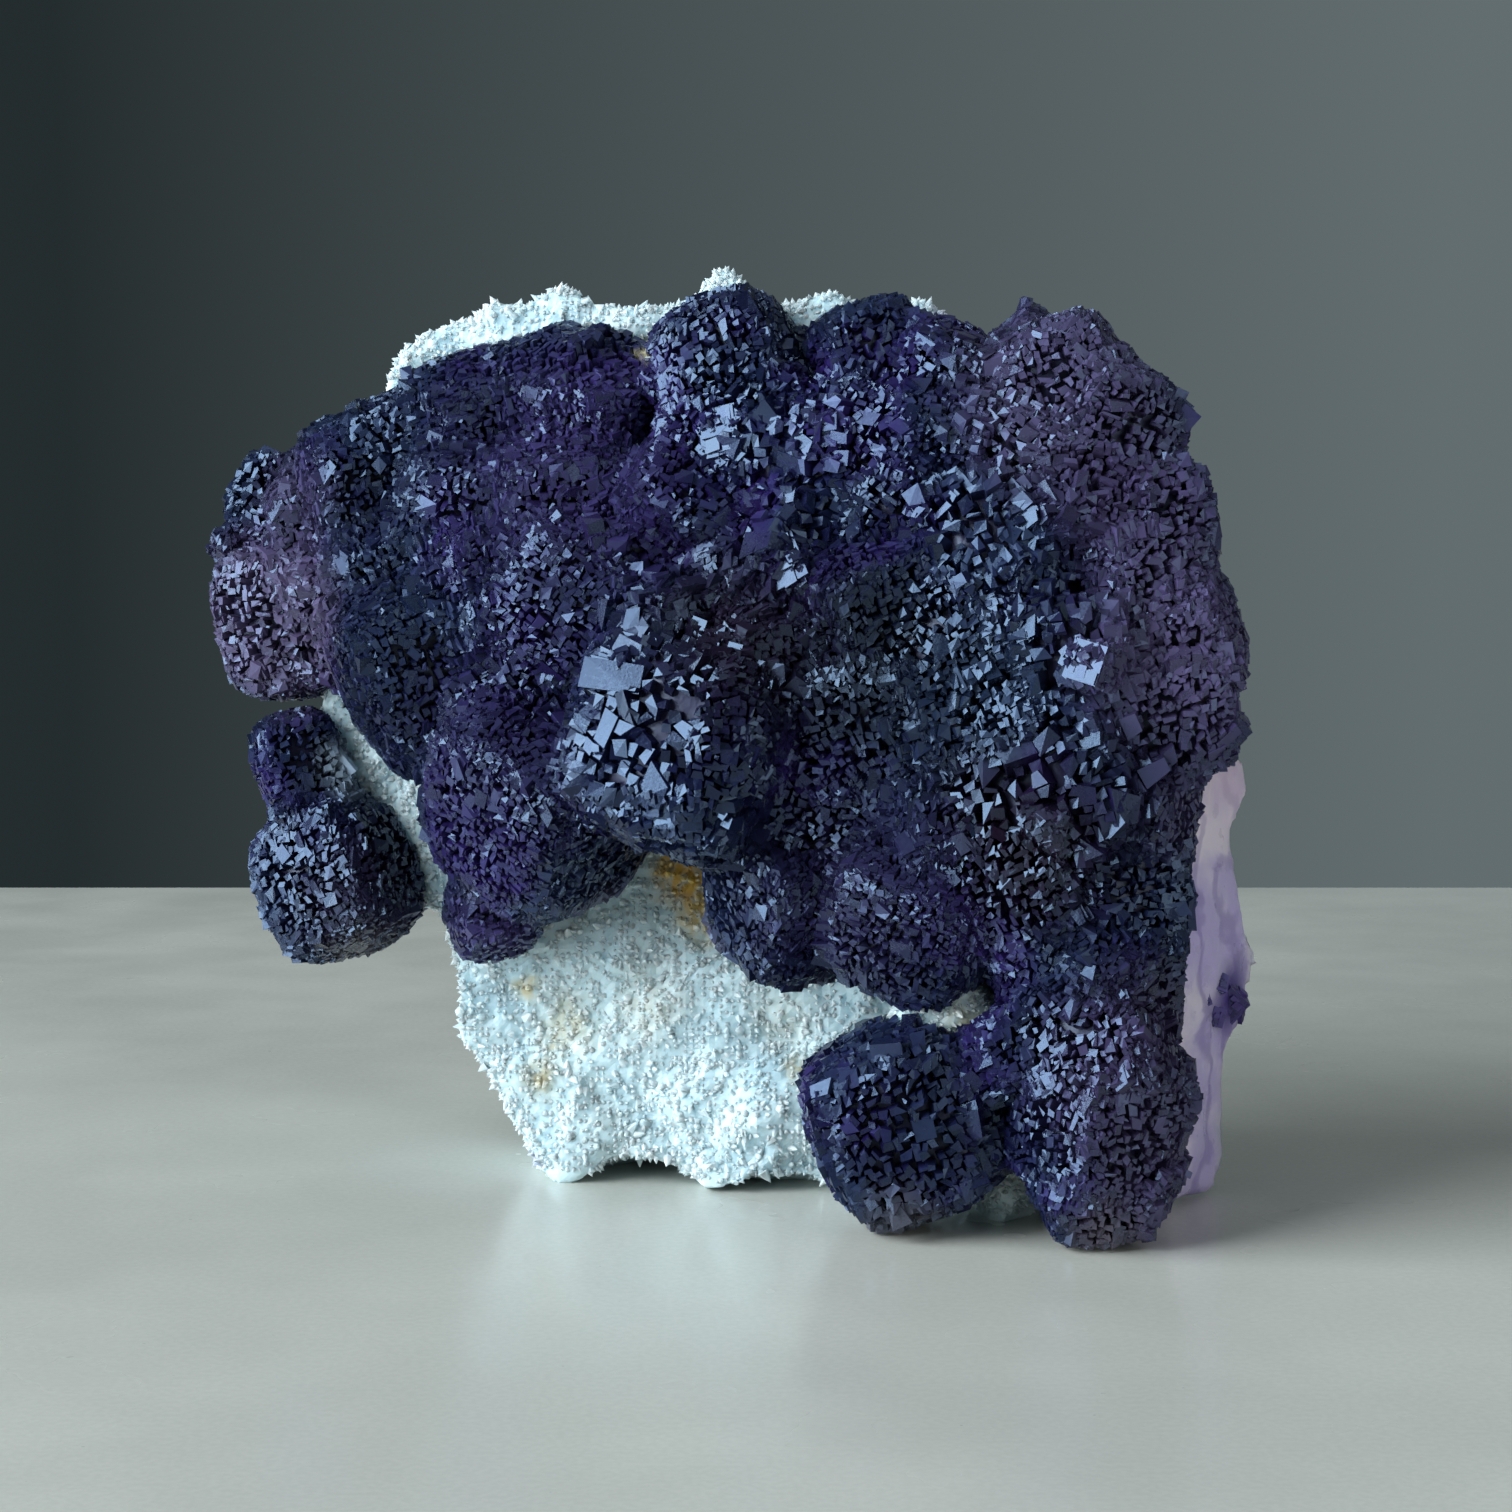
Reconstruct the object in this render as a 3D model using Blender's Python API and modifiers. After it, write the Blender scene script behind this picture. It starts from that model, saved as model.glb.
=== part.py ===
"""Fluorite specimen: violet fluorite nodules grown on a plate of sugary white quartz.

Metres, +Z up, +X to the right and +Y to the back as the specimen is looked at.
The origin is on the table, under the middle of the specimen.
"""

import math
import random
from collections import namedtuple

import bmesh
import bpy
from mathutils import Euler, Matrix, Vector, noise

MM = 0.001
SEED = 11

# The front view in which every outline and nodule is placed
EYE_DISTANCE = 350 * MM
EYE_HEIGHT = 86.6 * MM

# The middle of the footprint in that view, which becomes the origin
FOOTPRINT_MIDDLE = Vector((-4.0, 21.0, 0.0)) * MM

# The face of the plate, turned to the left and leaning back
FACE_AT = 16 * MM
FACE_TURN = -0.32
FACE_LEAN = 0.06
# Past this place the quartz falls back and the fluorite on it grows thicker
THICK_FROM = 20 * MM
THICK_RATE = 16.0

PLATE_THICKNESS = 21 * MM
PLATE_VOXEL = 1.7 * MM
PLATE_TRIANGLES = 2100
CLEARANCE_TRIANGLES = 1300
# Behind the nodules the quartz is only rough inwards, to this depth past its face
INWARD_DEPTH = 13 * MM
# The back of the plate is its front drawn in towards a middle, given across and up
BACK_SHRINK = 0.90
BACK_MIDDLE = Vector((2.0, 50.0)) * MM
# Roughness as pairs of size and height
QUARTZ_ROUGHNESS = ((16 * MM, 2.2 * MM), (6 * MM, 1.5 * MM), (2.6 * MM, 0.9 * MM))
BED_ROUGHNESS = ((14 * MM, 1.2 * MM), (5 * MM, 0.5 * MM))

BED_PROUD = 4.5 * MM
BED_BEHIND = 3 * MM
# A swelling in the middle of it: across, up and depth of its middle, then its radii
BED_HEART = (11, 66, 14, 27, 14, 24)
FLANK_FROM = 38 * MM
FLANK_NARROWS = 0.30
BED_VOXEL = 2.2 * MM
BED_TRIANGLES = 600

GAP = 1.15 * MM
# Each nodule is a rounded cube whose skin is a mosaic of faces of about this size
FACE_SIZE = 5.2 * MM
FACES_ROUND = 1.6
FACE_JITTER = 0.045
CUBENESS = 2.9
FLAT_WITHIN = math.radians(5)
STRETCH = (0.92, 1.08)
TURN = (-0.6, 0.6)

# The block under the table top, and points closer than this are one
TABLE_BLOCK = Vector((300.0, 300.0, 50.0)) * MM
ONE_POINT = 0.01 * MM

# Colour, roughness and transmission of each mineral
WHITE_QUARTZ = ((0.72, 0.82, 0.86), 0.55, 0.0)
VIOLET_FLUORITE = ((0.05, 0.04, 0.16), 0.18, 0.3)
FLUORITE_IOR = 1.434

# Outline of the quartz plate in the front view, in millimetres across and up, from the left foot clockwise
PLATE_OUTLINE = (
    (-28, 9), (-31, 16), (-33, 21), (-36, 23), (-35, 27), (-36, 32), (-37, 38), (-44, 40), (-51, 44),
    (-50, 52), (-52, 60), (-48, 72), (-48, 86), (-43, 97), (-41, 101), (-38, 102), (-37, 105.5),
    (-34, 104), (-31, 108), (-27, 108), (-23, 110), (-19, 109), (-10, 108.5), (-7, 110), (-4, 111.5),
    (1, 110), (5, 108), (9, 109.5), (13, 108), (16, 107), (19, 108.3), (22, 106), (28, 103),
    (38, 98), (44, 90), (48.5, 81), (51, 76), (47, 68), (47, 50), (47, 30), (49, 12), (52, 3.5),
    (46, 3), (34, 1), (24, 2), (16, 3.5), (9, 3.3), (2, 5), (-2, 4.9), (-6, 2), (-9, 6.6),
    (-18, 7.2), (-21, 5), (-24, 3), (-26, 5),
)  # fmt: skip

# Outline of the massive fluorite under the nodules, clockwise from the lower left of the upper field
BED_OUTLINE = (
    (-34, 56), (-47, 63), (-50, 76), (-48, 88), (-33, 98), (-16, 100), (-8, 106), (3, 107), (15, 105),
    (27, 105), (35, 107), (42, 99), (45, 90), (49, 82), (53.5, 70), (56.5, 58), (58.5, 52.5), (56, 48),
    (58.5, 40), (59.8, 32.5), (59, 28), (56.3, 21), (57.3, 13), (55.3, 4.5), (48, 2), (39, 4), (37, 18),
    (33, 26), (20, 31), (5, 32), (-3, 40), (-3, 46), (-14, 48), (-30, 46),
)  # fmt: skip

# Rounded lumps under the plate and behind it: across, depth and height of the middle, then the radii
LUMPS = (
    (-19, 38, 11, 14, 12, 12),
    (6, 31, 9, 21, 14, 11),
    (32, 32, 11, 17, 12, 12),
    (-33, 47, 62, 16, 9, 22),
    (0, 40, 72, 26, 11, 28),
    (32, 33, 58, 15, 10, 28),
    (8, 40, 36, 22, 11, 20),
)

# Quartz that stands forward between the lower nodules, given in the same way
FRONT_LUMPS = (
    (22, 3.5, 25.5, 7.5, 7, 6),
    (29.5, 6, 9, 7, 6, 11),
)

# One nodule: its middle in the front view, its radius and how far it stands out from the face, in
# millimetres, and how much taller it is than wide
Nodule = namedtuple("Nodule", "across up radius lift tall")

UPPER_FIELD = (
    Nodule(-2.4, 99.2, 9.7, 3, 1.0),
    Nodule(-1.0, 94.0, 8.7, 6, 1.0),
    Nodule(13.1, 101.5, 7.0, 3, 1.0),
    Nodule(21.7, 99.5, 6.5, 3, 1.0),
    Nodule(34.8, 99.0, 7.8, 2, 1.0),
    Nodule(40.6, 93.0, 7.8, 2, 1.1),
    Nodule(6.2, 90.0, 8.1, 8, 1.1),
    Nodule(13.5, 91.0, 8.3, 7, 1.0),
    Nodule(22.3, 92.0, 7.0, 7, 1.0),
    Nodule(30.3, 90.5, 7.0, 6, 1.0),
    Nodule(-7.5, 86.0, 8.3, 8, 0.9),
    Nodule(-16.7, 96.0, 7.8, 3, 1.0),
    Nodule(-22.5, 97.5, 8.3, 2, 0.9),
    Nodule(-31.7, 94.5, 8.5, 2, 1.0),
    Nodule(-44.4, 86.5, 9.8, 1, 1.0),
    Nodule(-40.0, 92.0, 7.2, 2, 0.9),
    Nodule(-49.0, 83.0, 7.2, -1, 1.2),
    Nodule(-33.0, 85.0, 8.7, 5, 1.0),
    Nodule(-21.0, 86.5, 9.4, 5, 0.9),
    Nodule(-13.3, 81.0, 7.6, 7, 1.0),
)

LEFT_FIELD = (
    Nodule(-54.4, 72.0, 7.8, -2, 1.35),
    Nodule(-55.9, 85.5, 4.8, -3, 1.2),
    Nodule(-47.0, 73.0, 7.2, 1, 1.2),
    Nodule(-36.5, 67.5, 12.6, 3, 1.1),
    Nodule(-40.5, 77.0, 8.1, 4, 1.0),
    Nodule(-29.5, 74.5, 10.2, 5, 1.0),
    Nodule(-20.5, 75.0, 9.8, 8, 1.0),
    Nodule(-26.5, 62.5, 8.7, 6, 1.0),
    Nodule(-30.6, 37.8, 5.4, 3, 1.1),
    Nodule(-24.6, 51.5, 13.4, 7, 1.0),
)

MIDDLE_FIELD = (
    Nodule(-7.6, 57.8, 14.0, 14, 1.0),
    Nodule(-8.5, 70.0, 8.7, 11, 1.0),
    Nodule(3.9, 79.0, 7.2, 12, 1.2),
    Nodule(3.5, 68.5, 9.2, 11, 1.0),
    Nodule(17.1, 83.0, 7.0, 10, 1.0),
    Nodule(26.4, 81.0, 7.6, 11, 1.0),
    Nodule(14.3, 73.5, 10.2, 11, 1.0),
    Nodule(22.4, 69.5, 8.1, 12, 1.0),
    Nodule(12.5, 61.0, 9.4, 11, 1.0),
    Nodule(21.0, 60.5, 8.1, 12, 1.0),
    Nodule(28.5, 61.5, 7.6, 12, 1.0),
    Nodule(5.0, 53.5, 8.1, 9, 1.0),
)

RIGHT_FIELD = (
    Nodule(37.0, 84.0, 8.3, 6, 1.0),
    Nodule(46.6, 83.0, 6.3, 3, 1.1),
    Nodule(31.5, 72.5, 7.2, 10, 1.0),
    Nodule(37.2, 68.8, 7.2, 12, 1.0),
    Nodule(43.5, 76.0, 7.2, 6, 1.0),
    Nodule(48.6, 70.0, 7.4, 4, 1.0),
    Nodule(47.4, 61.5, 7.6, 5, 1.1),
    Nodule(34.5, 52.5, 11.3, 9, 1.0),
    Nodule(43.0, 51.0, 8.0, 5, 1.1),
    Nodule(41.2, 41.0, 8.8, 5, 1.1),
    Nodule(42.0, 29.5, 7.2, 5, 1.2),
)

LOWER_FIELD = (
    Nodule(4.2, 39.8, 9.9, 7, 1.0),
    Nodule(10.5, 48.0, 8.4, 8, 1.0),
    Nodule(19.1, 38.2, 10.4, 9, 1.0),
    Nodule(22.5, 49.5, 8.8, 9, 1.0),
    Nodule(31.5, 42.5, 9.4, 9, 1.0),
    Nodule(37.5, 32.5, 9.2, 8, 1.0),
    Nodule(30.5, 21.5, 5.8, 10, 0.9),
    Nodule(17.5, 13.4, 11.8, 8, 1.0),
    Nodule(40.2, 21.5, 8.2, 9, 1.0),
    Nodule(40.0, 12.5, 8.6, 10, 1.1),
    Nodule(39.6, 4.6, 6.4, 10, 0.9),
    Nodule(44.0, 6.0, 5.2, 8, 0.9),
    Nodule(43.4, 16.0, 6.0, 7, 1.1),
)

# One cube that stands out: its middle in the front view, its side and how far it stands out from
# the face, in millimetres, and its turn in degrees
Crystal = namedtuple("Crystal", "across up side lift turn")

CRYSTALS = (
    Crystal(-3.0, 93.0, 6.0, 12, (20, 10, -25)),
    Crystal(3.9, 77.5, 6.5, 17, (15, 8, -30)),
    Crystal(4.6, 90.5, 5.0, 14, (30, 20, -15)),
    Crystal(54.6, 59.5, 4.0, 4, (30, 40, 20)),
    Crystal(56.0, 27.5, 3.4, -8, (25, 35, 15)),
    Crystal(-60.5, 80.5, 4.0, 0, (35, 30, -20)),
    Crystal(31.5, 105.0, 4.5, 0, (40, 30, 15)),
    Crystal(39.2, 66.5, 5.0, 18, (12, 5, -30)),
    Crystal(34.0, 48.0, 5.5, 18, (25, 10, -20)),
    Crystal(-15.0, 66.0, 5.5, 22, (30, -15, -35)),
)

LEFT_PAIR = (
    Nodule(-52.6, 55.0, 6.4, 0, 1.1),
    Nodule(-48.6, 42.0, 9.6, 1, 1.05),
)


def clear_scene():
    """Removes what the file starts with."""
    for old in list(bpy.data.objects):
        bpy.data.objects.remove(old, do_unlink=True)


def new_collection(name):
    """A collection linked to the scene."""
    collection = bpy.data.collections.new(name)
    bpy.context.scene.collection.children.link(collection)
    return collection


def mineral(name, colour, roughness, transmission):
    """A Principled material of one mineral."""
    material = bpy.data.materials.new(name)
    material.use_nodes = True
    shader = material.node_tree.nodes["Principled BSDF"]
    shader.inputs["Base Color"].default_value = (*colour, 1.0)
    shader.inputs["Roughness"].default_value = roughness
    shader.inputs["Metallic"].default_value = 0.0
    shader.inputs["IOR"].default_value = FLUORITE_IOR
    shader.inputs["Transmission Weight"].default_value = transmission
    return material


def object_from(mesh, name, collection, material=None):
    """An object that shows a mesh, in a collection and of a material."""
    made = bpy.data.objects.new(name, mesh)
    collection.objects.link(made)
    if material:
        mesh.materials.clear()
        mesh.materials.append(material)
    return made


def as_evaluated(source):
    """The mesh of an object with its modifiers worked out. The object goes."""
    bpy.context.view_layer.update()
    graph = bpy.context.evaluated_depsgraph_get()
    mesh = bpy.data.meshes.new_from_object(source.evaluated_get(graph))
    bpy.data.objects.remove(source, do_unlink=True)
    return mesh


def seen_at(across, up, depth):
    """The point at a depth that looks to be at (across, up) in the front view."""
    reach = (EYE_DISTANCE + depth) / EYE_DISTANCE
    return Vector((across * reach, depth, EYE_HEIGHT + (up - EYE_HEIGHT) * reach))


def growth_face(across, up):
    """Depth of the face that the nodules are measured from."""
    return FACE_AT + FACE_TURN * across + FACE_LEAN * up


def quartz_face(across, up):
    """Depth of the front of the quartz, which falls back on the right."""
    past = max(0.0, across - THICK_FROM)
    return growth_face(across, up) + THICK_RATE * past * past


def filled_outline(points, collection):
    """A mesh slab between z = -1 and z = 1 from an outline in millimetres."""
    curve = bpy.data.curves.new("outline", "CURVE")
    curve.dimensions = "2D"
    curve.fill_mode = "BOTH"
    curve.extrude = 1.0
    spline = curve.splines.new("POLY")
    spline.points.add(len(points) - 1)
    for point, (across, up) in zip(spline.points, points):
        point.co = (across * MM, up * MM, 0.0, 1.0)
    spline.use_cyclic_u = True
    mesh = as_evaluated(object_from(curve, "outline", collection))
    shaper = bmesh.new()
    shaper.from_mesh(mesh)
    bmesh.ops.remove_doubles(shaper, verts=shaper.verts, dist=ONE_POINT)
    bmesh.ops.recalc_face_normals(shaper, faces=shaper.faces)
    shaper.to_mesh(mesh)
    shaper.free()
    return mesh


def remeshed(mesh, voxel, collection):
    """A mesh made one closed even skin."""
    lump = object_from(mesh, "lump", collection)
    skin = lump.modifiers.new("skin", "REMESH")
    skin.mode = "VOXEL"
    skin.voxel_size = voxel
    return as_evaluated(lump)


def thinned(mesh, triangles, collection):
    """A mesh brought down to about a number of triangles."""
    lump = object_from(mesh, "lump", collection)
    now = sum(len(face.vertices) - 2 for face in mesh.polygons)
    fewer = lump.modifiers.new("fewer", "DECIMATE")
    fewer.ratio = min(1.0, triangles / now)
    fewer.use_collapse_triangulate = True
    return as_evaluated(lump)


def roughen(mesh, layers):
    """Moves each point along its normal by layers of noise, each a (size, height) pair.

    Near the growth face the points only move inwards.
    """
    moves = []
    for point in mesh.vertices:
        move = sum(height * noise.noise(point.co / size) for size, height in layers)
        if point.co.y < quartz_face(point.co.x, point.co.z) + INWARD_DEPTH:
            move = -abs(move)
        moves.append(point.co + point.normal * move)
    for point, place in zip(mesh.vertices, moves):
        point.co = place


def join_meshes(meshes):
    """One mesh that holds the faces of several."""
    joiner = bmesh.new()
    for mesh in meshes:
        joiner.from_mesh(mesh)
    joined = bpy.data.meshes.new("joined")
    joiner.to_mesh(joined)
    joiner.free()
    return joined


def ellipsoid(middle, radii):
    """A closed ball mesh with three radii."""
    ball = bmesh.new()
    place = Matrix.Translation(middle) @ Matrix.Diagonal((*radii, 1.0))
    bmesh.ops.create_icosphere(ball, subdivisions=3, radius=1.0, matrix=place)
    mesh = bpy.data.meshes.new("ball")
    ball.to_mesh(mesh)
    ball.free()
    return mesh


def quartz_slab(collection):
    """The outlined slab of the quartz, narrower at its back."""
    slab = filled_outline(PLATE_OUTLINE, collection)
    for point in slab.vertices:
        across, up, side = point.co
        if side < 0:
            depth = quartz_face(across, up)
        else:
            across, up = BACK_MIDDLE.lerp(point.co.xy, BACK_SHRINK)
            depth = growth_face(across, up) + PLATE_THICKNESS
        point.co = seen_at(across, up, depth)
    return slab


def quartz_form(collection):
    """The slab with its lumps, as one smooth skin."""
    parts = [quartz_slab(collection)]
    for lump in LUMPS + FRONT_LUMPS:
        middle = Vector(lump[:3]) * MM
        radii = Vector(lump[3:]) * MM
        parts.append(ellipsoid(middle, radii))
    return remeshed(join_meshes(parts), PLATE_VOXEL, collection)


def quartz_mesh(collection):
    """The rough quartz: its form, roughened and thinned."""
    mesh = quartz_form(collection)
    roughen(mesh, QUARTZ_ROUGHNESS)
    return thinned(mesh, PLATE_TRIANGLES, collection)


def bed_mesh(collection):
    """The massive fluorite under the nodules, which shows as the smooth right flank."""
    slab = filled_outline(BED_OUTLINE, collection)
    for point in slab.vertices:
        across, up, side = point.co
        if side < 0:
            past = max(0.0, across - FLANK_FROM)
            across = across - past * (1.0 - FLANK_NARROWS)
            depth = growth_face(across, up) - BED_PROUD
        else:
            depth = quartz_face(across, up) + BED_BEHIND
        point.co = seen_at(across, up, depth)
    heart = ellipsoid(seen_at(*Vector(BED_HEART[:3]) * MM), Vector(BED_HEART[3:]) * MM)
    mesh = remeshed(join_meshes([slab, heart]), BED_VOXEL, collection)
    roughen(mesh, BED_ROUGHNESS)
    return thinned(mesh, BED_TRIANGLES, collection)


def lump_mesh(nodule, draw):
    """One nodule at the origin: a rounded cube whose skin is a mosaic of flat crystal faces."""
    radius = nodule.radius * MM
    segments = max(3, round(FACES_ROUND * radius / FACE_SIZE))
    shaper = bmesh.new()
    bmesh.ops.create_cube(shaper, size=2.0)
    bmesh.ops.subdivide_edges(
        shaper, edges=shaper.edges, cuts=segments - 1, use_grid_fill=True
    )
    for point in shaper.verts:
        bent = Vector(math.sin(value * math.pi / 4) * math.sqrt(2) for value in point.co)
        size = sum(abs(value) ** CUBENESS for value in bent) ** (1.0 / CUBENESS)
        reach = radius * (1.0 + draw.uniform(-FACE_JITTER, FACE_JITTER)) / size
        point.co = bent * reach
    stretch = Vector((draw.uniform(*STRETCH), draw.uniform(*STRETCH), nodule.tall))
    bmesh.ops.scale(shaper, vec=stretch, verts=shaper.verts)
    return shaper


def placed_lump(nodule, draw, collection, name):
    """A nodule turned its own way and set in front of the growth face."""
    shaper = lump_mesh(nodule, draw)
    across, up = nodule.across * MM, nodule.up * MM
    depth = growth_face(across, up) - nodule.lift * MM
    turn = Euler([draw.uniform(*TURN) for _ in range(3)]).to_matrix().to_4x4()
    place = Matrix.Translation(seen_at(across, up, depth))
    bmesh.ops.transform(shaper, matrix=place @ turn, verts=shaper.verts)
    return as_cutter(shaper, collection, name)


def as_cutter(shaper, collection, name):
    """An object that only shapes others, from a bmesh, which is freed."""
    mesh = bpy.data.meshes.new(name)
    shaper.to_mesh(mesh)
    shaper.free()
    made = object_from(mesh, name, collection)
    made.hide_render = True
    made.display_type = "WIRE"
    return made


def placed_crystal(crystal, draw, collection, name):
    """One single cube that stands out of the crust."""
    across, up = crystal.across * MM, crystal.up * MM
    depth = growth_face(across, up) - crystal.lift * MM
    turn = Euler([math.radians(angle) for angle in crystal.turn]).to_matrix().to_4x4()
    place = Matrix.Translation(seen_at(across, up, depth)) @ turn
    shaper = bmesh.new()
    bmesh.ops.create_cube(shaper, size=crystal.side * MM, matrix=place)
    return as_cutter(shaper, collection, name)


def quartz_clearance(collection):
    """The smooth form grown outwards by the gap, which keeps the fluorite clear of the quartz."""
    mesh = thinned(quartz_form(collection), CLEARANCE_TRIANGLES, collection)
    shaper = bmesh.new()
    shaper.from_mesh(mesh)
    shaper.normal_update()
    moved = [(point, point.co + point.normal * GAP) for point in shaper.verts]
    for point, place in moved:
        point.co = place
    return as_cutter(shaper, collection, "quartz_clearance")


def below_table(collection):
    """A block that takes away everything below the table."""
    block = bmesh.new()
    middle = FOOTPRINT_MIDDLE - Vector((0, 0, TABLE_BLOCK.z / 2))
    place = Matrix.Translation(middle) @ Matrix.Diagonal((*TABLE_BLOCK, 1.0))
    bmesh.ops.create_cube(block, size=1.0, matrix=place)
    return as_cutter(block, collection, "below_table")


def boolean(target, name, operation, tool, solver="EXACT"):
    """A Boolean modifier with an object or a collection. The rough quartz needs the MANIFOLD solver."""
    step = target.modifiers.new(name, "BOOLEAN")
    step.operation = operation
    step.solver = solver
    if isinstance(tool, bpy.types.Collection):
        step.operand_type = "COLLECTION"
        step.collection = tool
    else:
        step.object = tool
    return step


def largest_skin(mesh):
    """Keeps the outer skin of a mesh and drops what a union leaves inside it or a cut leaves loose."""
    shaper = bmesh.new()
    shaper.from_mesh(mesh)
    waiting = set(shaper.verts)
    skins = []
    while waiting:
        skin = set()
        edge_of_skin = [waiting.pop()]
        while edge_of_skin:
            point = edge_of_skin.pop()
            skin.add(point)
            for edge in point.link_edges:
                other = edge.other_vert(point)
                if other in waiting:
                    waiting.remove(other)
                    edge_of_skin.append(other)
        skins.append(skin)
    skins.sort(key=len)
    for skin in skins[:-1]:
        bmesh.ops.delete(shaper, geom=list(skin), context="VERTS")
    shaper.to_mesh(mesh)
    shaper.free()
    return mesh


def grown_together(name, base, nodules, crystals, material, collection, cutters):
    """One solid of a base mesh, if any, with its nodules and crystals, clear of each cutter."""
    draw = random.Random(f"{SEED} {name}")
    lumps = new_collection(f"{name}_lumps")
    for number, nodule in enumerate(nodules):
        placed_lump(nodule, draw, lumps, f"{name}_lump_{number:02d}")
    for number, crystal in enumerate(crystals):
        placed_crystal(crystal, draw, lumps, f"{name}_crystal_{number:02d}")
    if base is None:
        first = lumps.objects[0]
        base = first.data.copy()
        bpy.data.objects.remove(first, do_unlink=True)
    solid = object_from(base, f"{name}_union", collection)
    if len(lumps.objects):
        boolean(solid, "nodules", "UNION", lumps)
    for cutter in cutters:
        boolean(solid, cutter.name, "DIFFERENCE", cutter, "MANIFOLD")
    flat = solid.modifiers.new("flat_faces", "DECIMATE")
    flat.decimate_type = "DISSOLVE"
    flat.angle_limit = FLAT_WITHIN
    return object_from(largest_skin(as_evaluated(solid)), name, collection, material)


def main():
    """Builds the specimen."""
    clear_scene()
    specimen = new_collection("fluorite_specimen")
    tools = new_collection("cutters")
    white = mineral("white_quartz", *WHITE_QUARTZ)
    violet = mineral("violet_fluorite", *VIOLET_FLUORITE)

    table = below_table(tools)
    clearance = quartz_clearance(tools)
    plate = object_from(quartz_mesh(tools), "plate", tools)
    boolean(plate, "feet", "DIFFERENCE", table, "MANIFOLD")
    object_from(largest_skin(as_evaluated(plate)), "quartz_matrix", specimen, white)

    crust = UPPER_FIELD + LEFT_FIELD + MIDDLE_FIELD + RIGHT_FIELD + LOWER_FIELD
    grown_together(
        "fluorite_crust", bed_mesh(tools), crust, CRYSTALS, violet, specimen, (clearance, table)
    )
    grown_together(
        "fluorite_cluster_lower_left", None, LEFT_PAIR, (), violet, specimen, (clearance,)
    )
    for made in bpy.data.objects:
        made.location = -FOOTPRINT_MIDDLE


main()
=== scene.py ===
"""Fluorite specimen: the looks of violet fluorite nodules grown on a plate of sugary white quartz.

Metres, +Z up. The origin is on the table, under the middle of the specimen. Places on the specimen
are given as they look from the front, in millimetres across from the middle and up from the table.
"""

from __future__ import annotations

import logging
import math
import random
from dataclasses import dataclass, field
from enum import Enum

import bpy
import numpy as np
from mathutils import Euler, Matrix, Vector, noise
from mathutils.bvhtree import BVHTree


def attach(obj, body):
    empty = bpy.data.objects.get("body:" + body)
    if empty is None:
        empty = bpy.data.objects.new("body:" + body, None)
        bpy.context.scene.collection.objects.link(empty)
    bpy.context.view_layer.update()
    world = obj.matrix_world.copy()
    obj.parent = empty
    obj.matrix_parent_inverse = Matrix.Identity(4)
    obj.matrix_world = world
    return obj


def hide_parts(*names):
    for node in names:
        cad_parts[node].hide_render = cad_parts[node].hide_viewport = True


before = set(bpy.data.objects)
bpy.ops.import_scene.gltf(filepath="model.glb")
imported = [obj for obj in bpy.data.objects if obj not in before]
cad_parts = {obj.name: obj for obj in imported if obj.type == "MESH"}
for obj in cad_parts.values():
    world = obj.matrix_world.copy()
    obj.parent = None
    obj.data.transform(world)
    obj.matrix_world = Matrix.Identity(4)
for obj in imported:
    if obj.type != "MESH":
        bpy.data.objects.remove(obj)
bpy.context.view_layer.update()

MM = 0.001
SEED = 11
BODY = "root"
CUBE_TAPER = (0.58, 0.88)
CUBE_RAGGED = 0.18
LOWEST_CUBE = 0.15 * MM
FLUORITE_IOR = 1.434
QUARTZ_IOR = 1.544

Colour = tuple[float, float, float]
Socket = bpy.types.NodeSocket
Value = float | Socket

log = logging.getLogger("fluorite")


class Slot(Enum):
    """The record's finishes."""

    QUARTZ = "white_quartz"
    FLUORITE = "violet_fluorite"


class Node(Enum):
    """The solids that the pieces stand for."""

    QUARTZ = "quartz_matrix"
    CRUST = "fluorite_crust"
    CLUSTER = "fluorite_cluster_lower_left"


@dataclass(frozen=True)
class FrontView:
    """The front view, in which every nodule and stain is placed."""

    eye_distance: float = 350 * MM
    eye_height: float = 86.6 * MM
    footprint_across: float = -4 * MM
    footprint_depth: float = 21 * MM
    face_at: float = 16 * MM
    face_turn: float = -0.32
    face_lean: float = 0.06

    def growth_face(self, across: float, up: float) -> float:
        """Depth of the face that the nodules grew on.

        Args:
            across: metres to the right of the middle.
            up: metres above the table.

        Returns:
            The depth behind the view's plane, in metres.
        """
        return self.face_at + self.face_turn * across + self.face_lean * up

    def place(self, across: float, up: float, lift: float = 0.0) -> Vector:
        """A point in front of the growth face, in the specimen's own frame.

        Args:
            across: millimetres to the right, as it looks from the front.
            up: millimetres above the table, as it looks from the front.
            lift: millimetres that it stands in front of the growth face.

        Returns:
            The point, in metres.
        """
        depth = self.growth_face(across * MM, up * MM) - lift * MM
        reach = (self.eye_distance + depth) / self.eye_distance
        return Vector(
            (
                across * MM * reach - self.footprint_across,
                depth - self.footprint_depth,
                self.eye_height + (up * MM - self.eye_height) * reach,
            )
        )


VIEW = FrontView()


@dataclass(frozen=True)
class Nodule:
    """One rounded nodule: its middle in the front view, its radius and how far it stands out, in
    millimetres, how much taller it is than wide, and the side of its crystals."""

    across: float
    up: float
    radius: float
    lift: float
    tall: float
    grain: float = 0.78


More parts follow.
